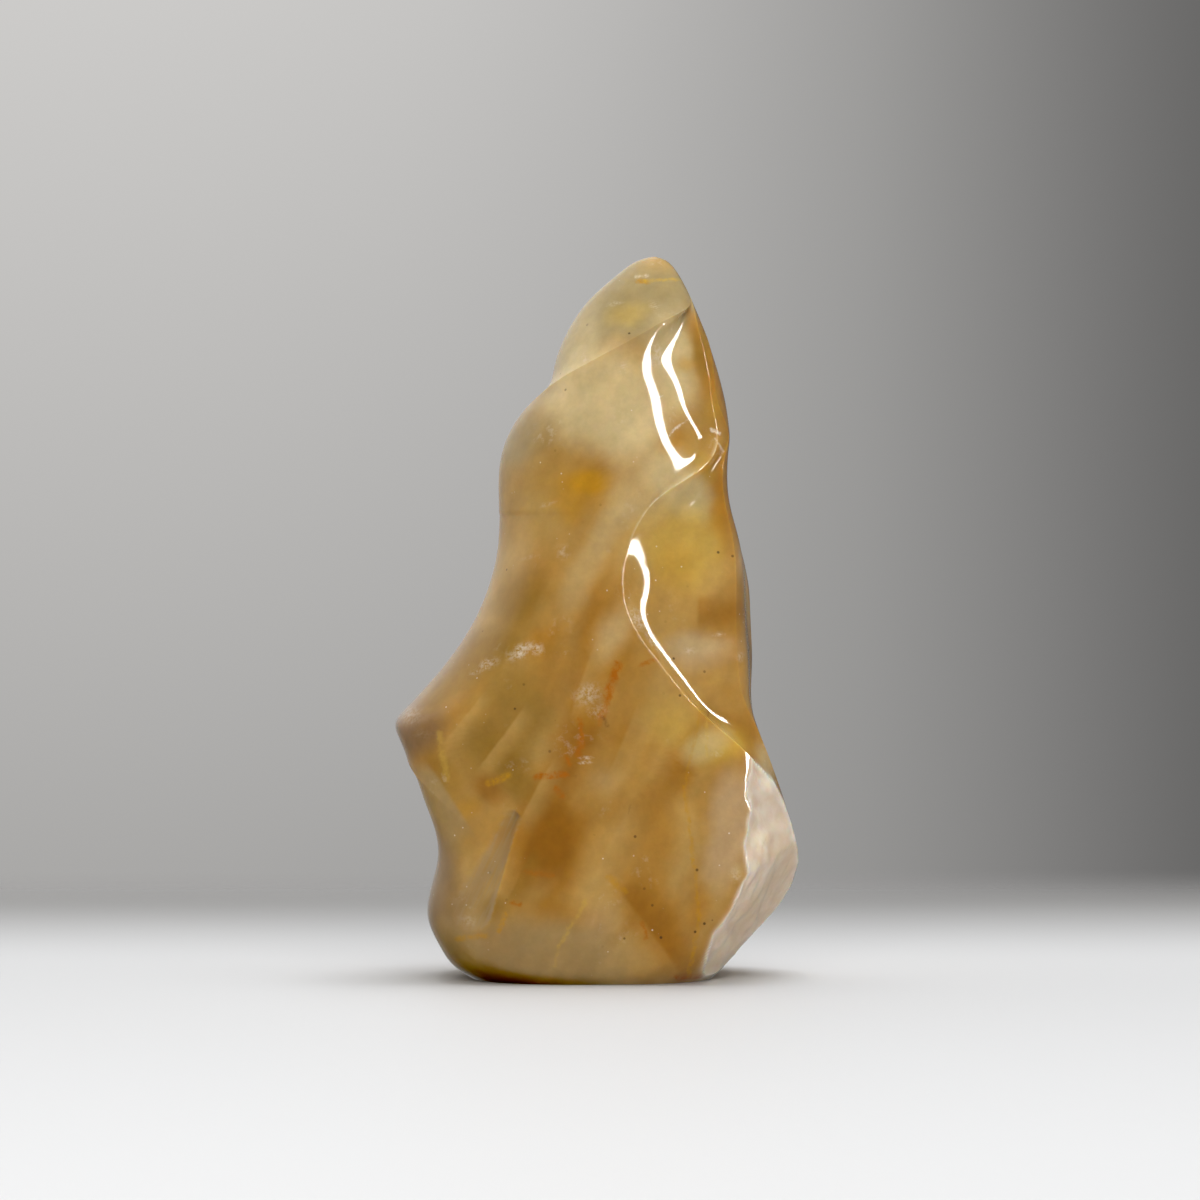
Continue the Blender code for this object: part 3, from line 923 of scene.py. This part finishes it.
VEINS = made(
    Vein,
    (Tint.IRON, 3.8, -15, 43.4, 2.4, -15, 39, 0.95, 1.1),
    (Tint.IRON, 2.6, -15, 39, 1.4, -15, 35.6, 0.75, 0.8),
    (Tint.IRON, -1.4, -15, 36.2, -0.9, -15, 32.4, 0.5, 1.2),
    (Tint.IRON, -1.2, -15, 33.4, -1.6, -15, 31.2, 0.8, 0.9),
    (Tint.IRON, -3.2, -15, 31, -2.8, -15, 30, 0.6, 0.9),
    (Tint.IRON, -7.2, -15, 28.3, -3.2, -15, 28.6, 0.75, 1.2),
    (Tint.IRON, -4.6, -15, 26.6, -3.8, -15, 25.8, 0.7, 0.9),
    (Tint.ORANGE, -13.6, -15, 27.4, -11, -15, 28.4, 0.8, 0.8),
    (Tint.IRON, -8.6, -15, 15.4, -5, -15, 15, 0.7, 0.6),
    (Tint.IRON, -10.4, -15, 11.4, -9.4, -15, 11, 0.6, 1.1),
    (Tint.ORANGE, -12.2, -15, 7.4, -11.4, -15, 9.8, 0.6, 0.75),
    (Tint.ORANGE, -18, -15, 6.2, -14, -15, 6.8, 0.6, 0.55),
    (Tint.IRON, 7.2, -15, 8.6, 7.6, -15, 6.6, 0.6, 1),
    (Tint.ORANGE, 2.6, -15, 14.6, 4.8, -15, 12.8, 0.8, 0.6),
    (Tint.IRON, 7, -15, 43.4, 9, -15, 44.2, 0.55, 0.8),
    (Tint.IRON, 12, -15, 0.9, 15.6, -15, 0.7, 0.7, 1.1),
    (Tint.YELLOW, 15.9, -15, 36, 15.9, -15, 31, 0.4, 0.6),
    (Tint.ORANGE, 15, -15, 37, 12.8, -15, 27, 0.42, 0.5),
    (Tint.ORANGE, 12.8, -15, 27, 14, -15, 17, 0.5, 0.6),
    (Tint.ORANGE, 14, -15, 17, 14.8, -15, 9, 0.5, 0.65),
    (Tint.ORANGE, 14.8, -15, 9, 13.4, -15, 1, 0.5, 0.6),
    (Tint.YELLOW, -20.4, -15, 34, -19.4, -15, 28, 0.8, 0.45),
    (Tint.YELLOW, -0.6, -15, 11.4, -4.2, -15, 5.4, 0.55, 0.65),
    (Tint.YELLOW, -4.2, -15, 5.4, -4.8, -15, 2.6, 0.45, 0.4),
    (Tint.ORANGE, 6.6, -5, 96.3, 8, -5, 96.2, 0.45, 0.8),
    (Tint.YELLOW, 7.6, -5, 96.4, 12.6, -5, 96.6, 0.4, 0.7),
    (Tint.FROST, 6.4, -5, 96.9, 8, -5, 97.1, 0.35, 0.55),
    (Tint.FROST, 10.9, -12, 74.9, 13.7, -12, 77.2, 0.28, 0.8),
    (Tint.FROST, 9, -12, 79.8, 9.8, -12, 80.2, 0.24, 0.7),
    (Tint.FROST, 16.6, -8, 75.6, 17.8, -8, 75.1, 0.4, 0.95),
    (Tint.FROST, 17.2, -8, 74.4, 18.2, -8, 72.6, 0.28, 0.6),
    (Tint.SPECK, 1.8, -15, 36.2, 2.4, -15, 35.2, 0.45, 0.55),
    (Tint.SPECK, -2.2, -15, 28.3, -1.9, -15, 28.3, 0.35, 0.75),
    (Tint.SPECK, 0.4, -15, 20.5, 0.6, -15, 20.4, 0.32, 0.8),
    (Tint.SPECK, 5.5, -15, 24.6, 5.1, -15, 23.4, 0.3, 0.75),
    (Tint.SPECK, 4.4, -15, 20.8, 4.2, -15, 20, 0.25, 0.55),
    (Tint.SPECK, 12.8, -15, 14, 13, -15, 14.1, 0.28, 0.8),
    (Tint.SPECK, 16.2, -14, 37.2, 15.8, -14, 35.6, 0.28, 0.5),
    (Tint.SPECK, 28.4, -8, 19.4, 28.6, -8, 18, 0.45, 0.45),
)


def soft_cloud_group() -> bpy.types.NodeTree:
    """Make the group that gives the mask of a cloud: a soft, turned ellipsoid round a centre.

    Returns:
        The group.
    """
    tree, graph, given, result = node_group("soft_cloud", "GeometryNodeTree", {
        "Point": (0.0, 0.0, 0.0), "Centre": (0.0, 0.0, 0.0), "Reach": (0.01, 0.01, 0.01),
        "Lean": 0.0, "Core": 0.2, "Strength": 1.0,
    }, "Mask")
    turned = graph.turned(graph.vector("SUBTRACT", given["Point"], given["Centre"]), given["Lean"])
    far = graph.vector("LENGTH", graph.vector("DIVIDE", turned, given["Reach"]))
    mask = graph.ramp(far, given["Core"], 1.0, 1.0, 0.0)
    graph.feed(result, graph.times(mask, given["Strength"], clamp=True))
    return tree


def veil_group() -> bpy.types.NodeTree:
    """Make the group that gives the mask of a veil: it has one straight edge, and fades away from it.

    Returns:
        The group.
    """
    tree, graph, given, result = node_group("straight_veil", "ShaderNodeTree", {
        "Point": (0.0, 0.0, 0.0), "Centre": (0.0, 0.0, 0.0), "Lean": 0.0, "Length": 0.01, "Fade": 0.004,
        "Strength": 1.0,
    }, "Mask")
    turned = graph.turned(graph.vector("SUBTRACT", given["Point"], given["Centre"]), given["Lean"])
    parts = graph.add("ShaderNodeSeparateXYZ", {"Vector": turned}).outputs
    edge_width, nearest, deepest = 0.14, 6 * MM, 14 * MM
    gone = graph.math("DIVIDE", parts["X"], given["Fade"])
    edge = graph.times(graph.ramp(gone, 0.0, edge_width), graph.ramp(gone, edge_width, 1.0, 1.0, 0.0))
    along = graph.math("DIVIDE", graph.math("ABSOLUTE", parts["Z"]), given["Length"])
    deep = graph.ramp(graph.math("ABSOLUTE", parts["Y"]), nearest, deepest, 1.0, 0.0)
    mask = graph.times(graph.times(edge, deep), graph.ramp(along, 0.45, 1.0, 1.0, 0.0))
    graph.feed(result, graph.times(mask, given["Strength"], clamp=True))
    return tree


def vein_group() -> bpy.types.NodeTree:
    """Make the group that gives the mask of a vein: a thin sheet along a line, which runs back into the stone.

    Returns:
        The group.
    """
    tree, graph, given, result = node_group("vein_sheet", "ShaderNodeTree", {
        "Point": (0.0, 0.0, 0.0), "Start": (0.0, 0.0, 0.0), "Run": (0.0, 0.0, 0.01), "Width": 0.0005,
        "Strength": 1.0,
    }, "Mask")
    shallow = (1.0, 0.06, 1.0)
    run = given["Run"]
    away = graph.vector("MULTIPLY", graph.vector("SUBTRACT", given["Point"], given["Start"]), shallow)
    ahead, whole = graph.vector("DOT_PRODUCT", away, run), graph.vector("DOT_PRODUCT", run, run)
    near = graph.vector("SCALE", run, graph.math("DIVIDE", ahead, whole, clamp=True))
    far = graph.math("DIVIDE", graph.vector("DISTANCE", away, near), given["Width"])
    mask = graph.ramp(far, 0.15, 1.0, 1.0, 0.0)
    graph.feed(result, graph.times(mask, given["Strength"], clamp=True))
    return tree


GROUP_MAKERS = {Cloud: soft_cloud_group, Veil: veil_group, Vein: vein_group}


@dataclass(frozen=True)
class GoldenQuartz:
    """Translucent golden quartz: clouds of colour, iron veins, fine feathers and a polished skin."""

    refraction: float = 1.54
    polish: float = 0.068
    raw_roughness: float = 0.42
    clearness: float = 0.10
    glow: float = 0.80
    glow_depth: float = 0.0026
    glow_radius: Triple = (1.0, 0.62, 0.28)
    warp: float = 2.4
    ripple: float = 0.7
    veil_warp: float = 0.3
    frost_warp: float = 0.12
    raw_cover: float = 0.88
    rim_cover: float = 0.92
    thumb_tint: tuple[float, ...] = (0.47, 0.345, 0.185, 1.0)
    worn_and_highlight_tint: tuple[float, ...] = (0.86, 0.720, 0.500, 1.0)
    raw_tint: tuple[float, ...] = (0.88, 0.715, 0.560, 1.0)
    pale_raw_tint: tuple[float, ...] = (0.98, 0.845, 0.700, 1.0)
    rim_tint: tuple[float, ...] = (0.99, 0.93, 0.85, 1.0)
    name: str = "golden_quartz_polished"
    groups: dict[type, bpy.types.NodeTree] = field(default_factory=dict)

    def warped(self, graph: Graph, point: Any, share: float = 1.0) -> Any:
        """Bend the point that colours are read at, so that none of the clouds is a plain ellipsoid.

        Args:
            graph: The graph that gets the nodes.
            point: The point.
            share: How much of the finish's warp there is.

        Returns:
            The bent point.
        """
        for size, reach in ((13.0, share * self.warp), (3.6, share * self.ripple)):
            point = graph.vector("ADD", point, graph.drift(graph.noise(point, size), 2 * reach))
        return point

    def veils(self, graph: Graph, point: Any, across: float, along: float, lean: float) -> Any:
        """A noise that is drawn out into leaning sheets.

        Args:
            graph: The graph that gets the nodes.
            point: Where it is read.
            across: How thick the sheets are, in millimetres.
            along: How long they are, in millimetres.
            lean: Their lean, in degrees.

        Returns:
            The noise.
        """
        size = (across * MM, 3 * across * MM, along * MM)
        drawn = graph.vector("DIVIDE", graph.turned(point, radians(lean)), size)
        return graph.add("ShaderNodeTexNoise", {"Vector": drawn, "Scale": 1.0, "Detail": 1.0}).outputs["Fac"]

    def body(self, graph: Graph, point: Any) -> Any:
        """The colour of the stone in the mass: gold and honey, drawn into soft leaning bands.

        Args:
            graph: The graph that gets the nodes.
            point: Where it is read.

        Returns:
            The colour.
        """
        broad = graph.noise(point, 18.0, 1.0)
        colour = graph.blend(graph.ramp(broad, 0.36, 0.66), Tint.GOLD.rgba, Tint.HONEY.rgba)
        for across, along, lean, low, high, tint, share in (
            (6.0, 42.0, 27.0, 0.46, 0.66, Tint.HONEY, 0.60),
            (4.0, 34.0, 31.0, 0.50, 0.68, Tint.AMBER, 0.40),
        ):
            veil = graph.ramp(self.veils(graph, point, across, along, lean), low, high, 0.0, share)
            colour = graph.blend(veil, colour, tint.rgba)
        return colour

    def grained(self, graph: Graph, point: Any, colour: Any) -> Any:
        """Lay leaning bands, lighter and darker, over the clouds.

        Args:
            graph: The graph that gets the nodes.
            point: Where the bands are read.
            colour: The colour below.

        Returns:
            The new colour.
        """
        for across, along, lean, reach in ((4.6, 12.0, 30.0, 0.05), (2.2, 3.4, 20.0, 0.035)):
            tone = graph.ramp(self.veils(graph, point, across, along, lean), 0.34, 0.66, 1 - reach, 1 + reach)
            colour = graph.vector("SCALE", colour, tone)
        return colour

    def marked(self, graph: Graph, point: Any, colour: Any, marks: tuple[Any, ...], share: Any = 1.0) -> Any:
        """Lay clouds, veils or veins over a colour, in their order.

        Args:
            graph: The graph that gets the nodes.
            point: Where they are read.
            colour: The colour below.
            marks: The clouds, veils or veins.
            share: How much of them shows.

        Returns:
            The new colour.
        """
        for mark in marks:
            mask = graph.mask(self.group(type(mark)), point, mark)
            colour = graph.blend(graph.times(mask, share), colour, mark.tint.rgba)
        return colour

    def group(self, kind: type) -> bpy.types.NodeTree:
        """The node group of clouds, veils or veins, which is made when it is first needed."""
        return self.groups.get(kind) or self.groups.setdefault(kind, GROUP_MAKERS[kind]())

    def tinted(self, graph: Graph, geometry: Any, place: Any) -> Any:
        """Keep the clouds of colour, and where the frost lies, as attributes of a surface.

        Args:
            graph: The graph of a geometry nodes tree.
            geometry: The surface.
            place: The position of its points.

        Returns:
            The surface with the attributes "mass" and "frost".
        """
        warped, near = self.warped(graph, place), self.warped(graph, place, self.frost_warp)
        mass = self.marked(graph, warped, self.body(graph, warped), CLOUDS)
        frost = 0.0
        for wisp in WISPS:
            frost = graph.math("MAXIMUM", frost, graph.mask(self.group(Cloud), near, wisp))
        for name, kind, value in (("mass", "FLOAT_COLOR", mass), ("frost", "FLOAT", frost)):
            geometry = graph.add("GeometryNodeStoreNamedAttribute", {
                "Geometry": geometry, "Name": name, "Value": value,
            }, data_type=kind, domain="POINT").outputs["Geometry"]
        return geometry

    def wisped(self, graph: Graph, point: Any, colour: Any) -> Any:
        """Lay the puffs of frost over a colour, eaten into by a fine noise.

        Args:
            graph: The graph that gets the nodes.
            point: Where the noise is read.
            colour: The colour below.

        Returns:
            The new colour.
        """
        bitten = graph.ramp(graph.noise(point, 0.55, 3.0, Roughness=0.7), 0.36, 0.66)
        puffs = graph.attribute("frost")
        share = graph.times(graph.times(puffs, bitten), 0.8, clamp=True)
        return graph.blend(share, colour, Tint.FROST.rgba)

    def veined(self, graph: Graph, point: Any, colour: Any, veins: tuple[Vein, ...]) -> Any:
        """Lay veins over a colour, frayed and broken up by fine noises.

        Args:
            graph: The graph that gets the nodes.
            point: Where they are read.
            colour: The colour below.
            veins: The veins.

        Returns:
            The new colour.
        """
        frayed = graph.vector("ADD", point, graph.drift(graph.noise(point, 1.4, 4.0, Roughness=0.75), 1.2))
        broken = graph.ramp(graph.noise(point, 0.9, 3.0, Roughness=0.65), 0.34, 0.60, 0.25, 1.0)
        return self.marked(graph, frayed, colour, veins, broken)

    def flecked(self, graph: Graph, point: Any, colour: Any) -> Any:
        """Add fine mottling, frosty feathers, white sparkles and dark specks to a colour.

        Args:
            graph: The graph that gets the nodes.
            point: Where they are read.
            colour: The colour below.

        Returns:
            The new colour.
        """
        mottle = graph.noise(point, 1.5, 4.0, Roughness=0.7)
        colour = graph.vector("SCALE", colour, graph.ramp(mottle, 0.25, 0.75, 0.94, 1.06))
        feather = graph.noise(point, 1.0, 3.0, Roughness=0.65)
        gathered = graph.ramp(graph.noise(point, 8.0), 0.60, 0.70)
        frost = graph.times(graph.ramp(feather, 0.50, 0.74, 0.0, 0.22), gathered)
        colour = graph.blend(frost, colour, Tint.FROST.rgba)
        for size, radius, low, tint, share in (
            (1.5, 0.10, 0.52, Tint.FROST, 0.85),
            (2.6, 0.10, 0.50, Tint.SPECK, 0.80),
        ):
            dots = graph.add("ShaderNodeTexVoronoi", {"Vector": point, "Scale": 1 / (size * MM)})
            dot = graph.ramp(dots.outputs["Distance"], radius * 0.5, radius, share, 0.0)
            where = graph.ramp(graph.noise(point, 7.0 * size), low, low + 0.12)
            colour = graph.blend(graph.times(dot, where), colour, tint.rgba)
        return colour

    def material(self) -> bpy.types.Material:
        """Build the finish.

        Returns:
            The material.
        """
        material, graph, shader, point = new_material(self.name)
        raw, crest = graph.attribute("raw"), graph.attribute("crest")
        mass = graph.attribute("mass").node.outputs["Color"]
        swayed = self.warped(graph, point, self.veil_warp)
        colour = self.grained(graph, swayed, self.marked(graph, swayed, mass, VEILS))
        colour = self.veined(graph, point, colour, VEINS)
        colour = self.wisped(graph, point, self.flecked(graph, point, colour))
        streaks = graph.ramp(self.veils(graph, point, 0.5, 7.0, 24.0), 0.40, 0.66, 0.25, 0.55)
        ground = graph.times(graph.attribute("thumb"), streaks)
        colour = graph.blend(ground, colour, self.thumb_tint)
        # A pale line along the front crest, broken by a noise: partly worn scuffs and partly a painted
        # highlight.
        scuffs_and_highlight = graph.ramp(graph.noise(point, 1.8, 3.0), 0.42, 0.62, 0.1, 0.7)
        colour = graph.blend(graph.times(crest, scuffs_and_highlight), colour, self.worn_and_highlight_tint)
        frosted = graph.ramp(graph.noise(point, 2.4, 4.0, Roughness=0.65), 0.35, 0.65)
        # The raw patch: frosted colour with rosier veils that are partly painted shade between its facets, then
        # its creases.
        broken = self.marked(graph, swayed, graph.blend(frosted, self.raw_tint, self.pale_raw_tint), FACETS)
        broken = self.veined(graph, point, broken, CREASES)
        colour = graph.blend(graph.times(raw, self.raw_cover), colour, broken)
        rim = graph.times(graph.attribute("rim"), self.rim_cover)
        graph.feed(shader.inputs["Base Color"], graph.blend(rim, colour, self.rim_tint))
        polish = graph.ramp(graph.noise(point, 5.0, 3.0), 0.3, 0.7, self.polish * 0.7, self.polish * 1.4)
        rough = graph.add("ShaderNodeMix", {0: raw, 2: polish, 3: self.raw_roughness}, data_type="FLOAT")
        graph.feed(shader.inputs["Roughness"], rough.outputs[0])
        shader.inputs["IOR"].default_value = self.refraction
        shader.inputs["Subsurface Weight"].default_value = self.glow
        shader.inputs["Subsurface Radius"].default_value = self.glow_radius
        shader.inputs["Subsurface Scale"].default_value = self.glow_depth
        shader.inputs["Transmission Weight"].default_value = self.clearness
        return material


# ----------------------------------------
# The stone
# ----------------------------------------


def ground_surface_tree(finish: GoldenQuartz) -> bpy.types.NodeTree:
    """Geometry nodes that lay colour, the ripple of hand polishing and the relief of the raw patch on a stone.

    Args:
        finish: The finish that gives the colour.

    Returns:
        The tree. Its sizes are named inputs, in metres.
    """
    tree, graph, given, result = node_group("ground_surface", "GeometryNodeTree", {
        "Geometry": "NodeSocketGeometry", "Polish Ripple": 0.0, "Polish Span": 0.01, "Raw Relief": 0.0,
        "Raw Span": 0.001, "Material": "NodeSocketMaterial",
    }, "Surface")
    place = graph.add("GeometryNodeInputPosition").outputs["Position"]
    normal = graph.add("GeometryNodeInputNormal").outputs["Normal"]
    raw = graph.add("GeometryNodeInputNamedAttribute", {"Name": "raw"}, data_type="FLOAT").outputs["Attribute"]

    def height(span: str, amount: str, detail: float, seed: float) -> Socket:
        """Make a noise that is centred on zero.

        Args:
            span: The name of the input that says how wide its bumps are.
            amount: The name of the input that says how high they are.
            detail: How much fine detail it has.
            seed: Its seed.

        Returns:
            The noise.
        """
        noise = graph.add("ShaderNodeTexNoise", {
            "Vector": place, "W": seed, "Scale": graph.math("DIVIDE", 1.0, given[span]), "Detail": detail,
        }, noise_dimensions="4D")
        return graph.times(graph.math("SUBTRACT", noise.outputs[0], 0.5), given[amount])

    shells_per_span = 0.34
    polished = graph.math("SUBTRACT", 1.0, raw)
    ripple = graph.times(height("Polish Span", "Polish Ripple", 0.0, 3.0), polished)
    shells = graph.add("ShaderNodeTexVoronoi", {
        "Vector": place, "Scale": graph.math("DIVIDE", shells_per_span, given["Raw Span"]), "Smoothness": 0.12,
    }, feature="SMOOTH_F1")
    shell = graph.times(graph.math("SUBTRACT", shells.outputs["Distance"], 0.5), given["Raw Relief"])
    relief = graph.times(graph.math("ADD", height("Raw Span", "Raw Relief", 3.0, 8.0), shell), raw)
    geometry = graph.add("GeometryNodeSetPosition", {
        "Geometry": finish.tinted(graph, given["Geometry"], place),
        "Offset": graph.vector("SCALE", normal, graph.math("ADD", ripple, relief)),
    }).outputs["Geometry"]
    geometry = graph.add("GeometryNodeRealizeInstances", {"Geometry": geometry}).outputs["Geometry"]
    last = graph.add("GeometryNodeSetMaterial", {"Geometry": geometry, "Material": given["Material"]})
    graph.feed(result, last.outputs["Geometry"])
    return tree


def modifier_input(modifier: bpy.types.Modifier, name: str, value: Any) -> None:
    """Set a geometry nodes modifier's input by the name of its socket.

    Args:
        modifier: The modifier.
        name: The input's name.
        value: Its new value.
    """
    for item in modifier.node_group.interface.items_tree:
        if item.item_type == "SOCKET" and item.in_out == "INPUT" and item.name == name:
            modifier[item.identifier] = value


def linked(name: str, data: bpy.types.ID) -> bpy.types.Object:
    """Make an object and link it to the scene.

    Args:
        name: The object's name.
        data: Its mesh, lamp or camera.

    Returns:
        The object, at the origin.
    """
    item = bpy.data.objects.new(name, data)
    bpy.context.scene.collection.objects.link(item)
    return item


@dataclass
class FlameStone:
    """The whole carving: one polished stone with one raw patch."""

    form: FlameForm = field(default_factory=FlameForm)
    finish: GoldenQuartz = field(default_factory=GoldenQuartz)
    polish_ripple: float = 0.10 * MM
    polish_span: float = 9.0 * MM
    raw_relief: float = 0.45 * MM
    raw_span: float = 1.8 * MM

    def build(self) -> bpy.types.Object:
        """Make the stone as one plain mesh.

        Returns:
            The stone, at the origin.
        """
        rough = linked("rough_flame", self.form.mesh())
        modifier = rough.modifiers.new("ground_surface", "NODES")
        modifier.node_group = ground_surface_tree(self.finish)
        for name, value in {
            "Polish Ripple": self.polish_ripple, "Polish Span": self.polish_span,
            "Raw Relief": self.raw_relief, "Raw Span": self.raw_span, "Material": self.finish.material(),
        }.items():
            modifier_input(modifier, name, value)
        graph = bpy.context.evaluated_depsgraph_get()
        mesh = bpy.data.meshes.new_from_object(
            rough.evaluated_get(graph), preserve_all_data_layers=True, depsgraph=graph
        )
        bpy.data.objects.remove(rough)
        mesh.name = "polished_flame"
        return linked("polished_flame", mesh)

    def dress(self) -> bpy.types.Object:
        """Make the stone and let it stand for its plain solid.

        Returns:
            The stone.
        """
        stone = self.build()
        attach(stone, "root")
        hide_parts("flame_stone")
        return stone


# ----------------------------------------
# The studio
# ----------------------------------------


@dataclass(frozen=True)
class SoftLight:
    """A rectangular lamp that faces the stone."""

    name: str
    place: Triple
    size: tuple[float, float]
    power: float
    colour: Triple = (1.0, 1.0, 1.0)
    target: Triple = (0.0, 0.0, 0.05)
    lights: bool = True
    shines: bool = True

    def build(self) -> bpy.types.Object:
        """Make the lamp.

        Returns:
            The lamp, turned to its target.
        """
        lamp = bpy.data.lights.new(self.name, "AREA")
        lamp.shape = "RECTANGLE"
        lamp.size, lamp.size_y = self.size
        lamp.energy = self.power
        lamp.color = self.colour
        holder = linked(self.name, lamp)
        holder.location = self.place
        away = Vector(self.target) - Vector(self.place)
        holder.rotation_euler = away.to_track_quat("-Z", "Y").to_euler()
        holder.visible_diffuse = self.lights
        holder.visible_glossy = self.shines
        return holder


@dataclass(frozen=True)
class Studio:
    """A pale table, soft light and the camera."""

    table_half_width: float = 0.9
    table_front: float = -1.1
    table_back: float = 0.27
    camera_distance: float = 0.65
    camera_side: float = 0.0014
    camera_height: float = 0.0522
    pixels_per_metre: float = 7180.0
    frame_pixels: float = 1200.0
    sensor: float = 36.0
    # Near, middle and far colours of the table: the greyer far ones are painted shade.
    table_tones_painted_falloff: tuple[tuple[float, ...], ...] = (
        (0.72, 0.725, 0.73, 1.0), (0.60, 0.605, 0.61, 1.0), (0.26, 0.257, 0.253, 1.0),
    )
    wall_tones: tuple[float, ...] = (0.47, 0.455, 0.405, 0.315, 0.205, 0.11)
    room_tone: tuple[float, ...] = (0.13, 0.128, 0.125, 1.0)
    lights: tuple[SoftLight, ...] = (
        SoftLight("window_strip", (0.777, -0.629, 0.58), (0.17, 0.88), 18.0, (1.0, 0.96, 0.90), lights=False),
        SoftLight("front_fill", (0.10, -1.30, 0.80), (1.2, 0.9), 10.5, (1.0, 0.98, 0.95), shines=False),
        SoftLight("top_fill", (0.15, 0.10, 1.10), (0.9, 0.9), 12.5, (0.97, 0.98, 1.0), shines=False),
    )

    def table_material(self) -> bpy.types.Material:
        """Make the finish of a pale tabletop whose colour is painted darker and greyer towards the back, a
        painted falloff of light.

        Returns:
            The material.
        """
        material, graph, shader, point = new_material("pale_table")
        depth = graph.add("ShaderNodeSeparateXYZ", {"Vector": point}).outputs["Y"]
        near, middle, far = self.table_tones_painted_falloff
        colour = graph.blend(graph.ramp(depth, -0.30, 0.06), near, middle)
        colour = graph.blend(graph.ramp(depth, 0.02, 0.17), colour, far)
        graph.feed(shader.inputs["Base Color"], colour)
        graph.feed(shader.inputs["Alpha"], graph.ramp(depth, 0.12, 0.26, 1.0, 0.0))
        shader.inputs["Roughness"].default_value = 0.6
        return material

    def table(self) -> bpy.types.Object:
        """Make the tabletop, as one flat sheet.

        Returns:
            The tabletop.
        """
        x, front, back = self.table_half_width, self.table_front, self.table_back
        mesh = bpy.data.meshes.new("table")
        mesh.from_pydata([(-x, front, 0), (x, front, 0), (x, back, 0), (-x, back, 0)], [], [(0, 1, 2, 3)])
        mesh.materials.append(self.table_material())
        table = linked("table", mesh)
        table.visible_glossy = False
        return table

    def surroundings(self) -> None:
        """A dim room whose far wall is lighter on the left and overhead."""
        world = bpy.data.worlds.new("soft_room")
        world.use_nodes = True
        graph = Graph(world.node_tree)
        way = graph.add("ShaderNodeTexCoord").outputs["Generated"]
        parts = graph.add("ShaderNodeSeparateXYZ", {"Vector": way}).outputs
        side = graph.add("ShaderNodeMapRange", {"Value": parts["X"], "From Min": -0.14, "From Max": 0.14})
        fall = graph.add("ShaderNodeValToRGB", {"Fac": side.outputs["Result"]})
        steps = fall.color_ramp
        steps.interpolation = "B_SPLINE"
        steps.elements[1].position = 0.25
        for place in (0.5, 0.7, 0.85, 1.0):
            steps.elements.new(place)
        for stop, tone in zip(steps.elements, self.wall_tones):
            stop.color = (tone, tone * 0.985, tone * 0.965, 1.0)
        lift = graph.math("MULTIPLY_ADD", parts["Z"], 2.4, 1.0)
        lifted = graph.vector("SCALE", fall.outputs["Color"], graph.math("MINIMUM", lift, 1.8))
        left = graph.ramp(parts["X"], -0.05, 0.12, 1.0, 0.0)
        wall = graph.blend(left, fall.outputs["Color"], lifted)
        colour = graph.blend(graph.ramp(parts["Y"], 0.25, -0.35), wall, self.room_tone)
        sky = world.node_tree.nodes["Background"]
        graph.feed(sky.inputs["Color"], colour)
        bpy.context.scene.world = world

    def camera(self) -> bpy.types.Object:
        """Set up the camera, level with the middle of the stone.

        Returns:
            The camera.
        """
        lens = bpy.data.cameras.new("camera")
        lens.sensor_width = self.sensor
        lens.lens = self.sensor * self.pixels_per_metre * self.camera_distance / self.frame_pixels
        lens.clip_start = 0.01
        camera = linked("camera", lens)
        camera.location = (self.camera_side, -self.camera_distance, self.camera_height)
        camera.rotation_euler = (pi / 2, 0, 0)
        bpy.context.scene.camera = camera
        return camera

    def build(self) -> None:
        """Set up the whole studio."""
        self.table()
        self.surroundings()
        for light in self.lights:
            light.build()
        self.camera()
        bpy.context.scene.view_settings.view_transform = "Standard"


def main() -> None:
    """Build the stone and its studio, and report each piece."""
    logging.basicConfig(level=logging.INFO, format="%(name)s: %(message)s")
    stone = FlameStone().dress()
    log.info("%s: %d faces", stone.name, len(stone.data.polygons))
    Studio().build()


if __name__ == "__main__":
    main()
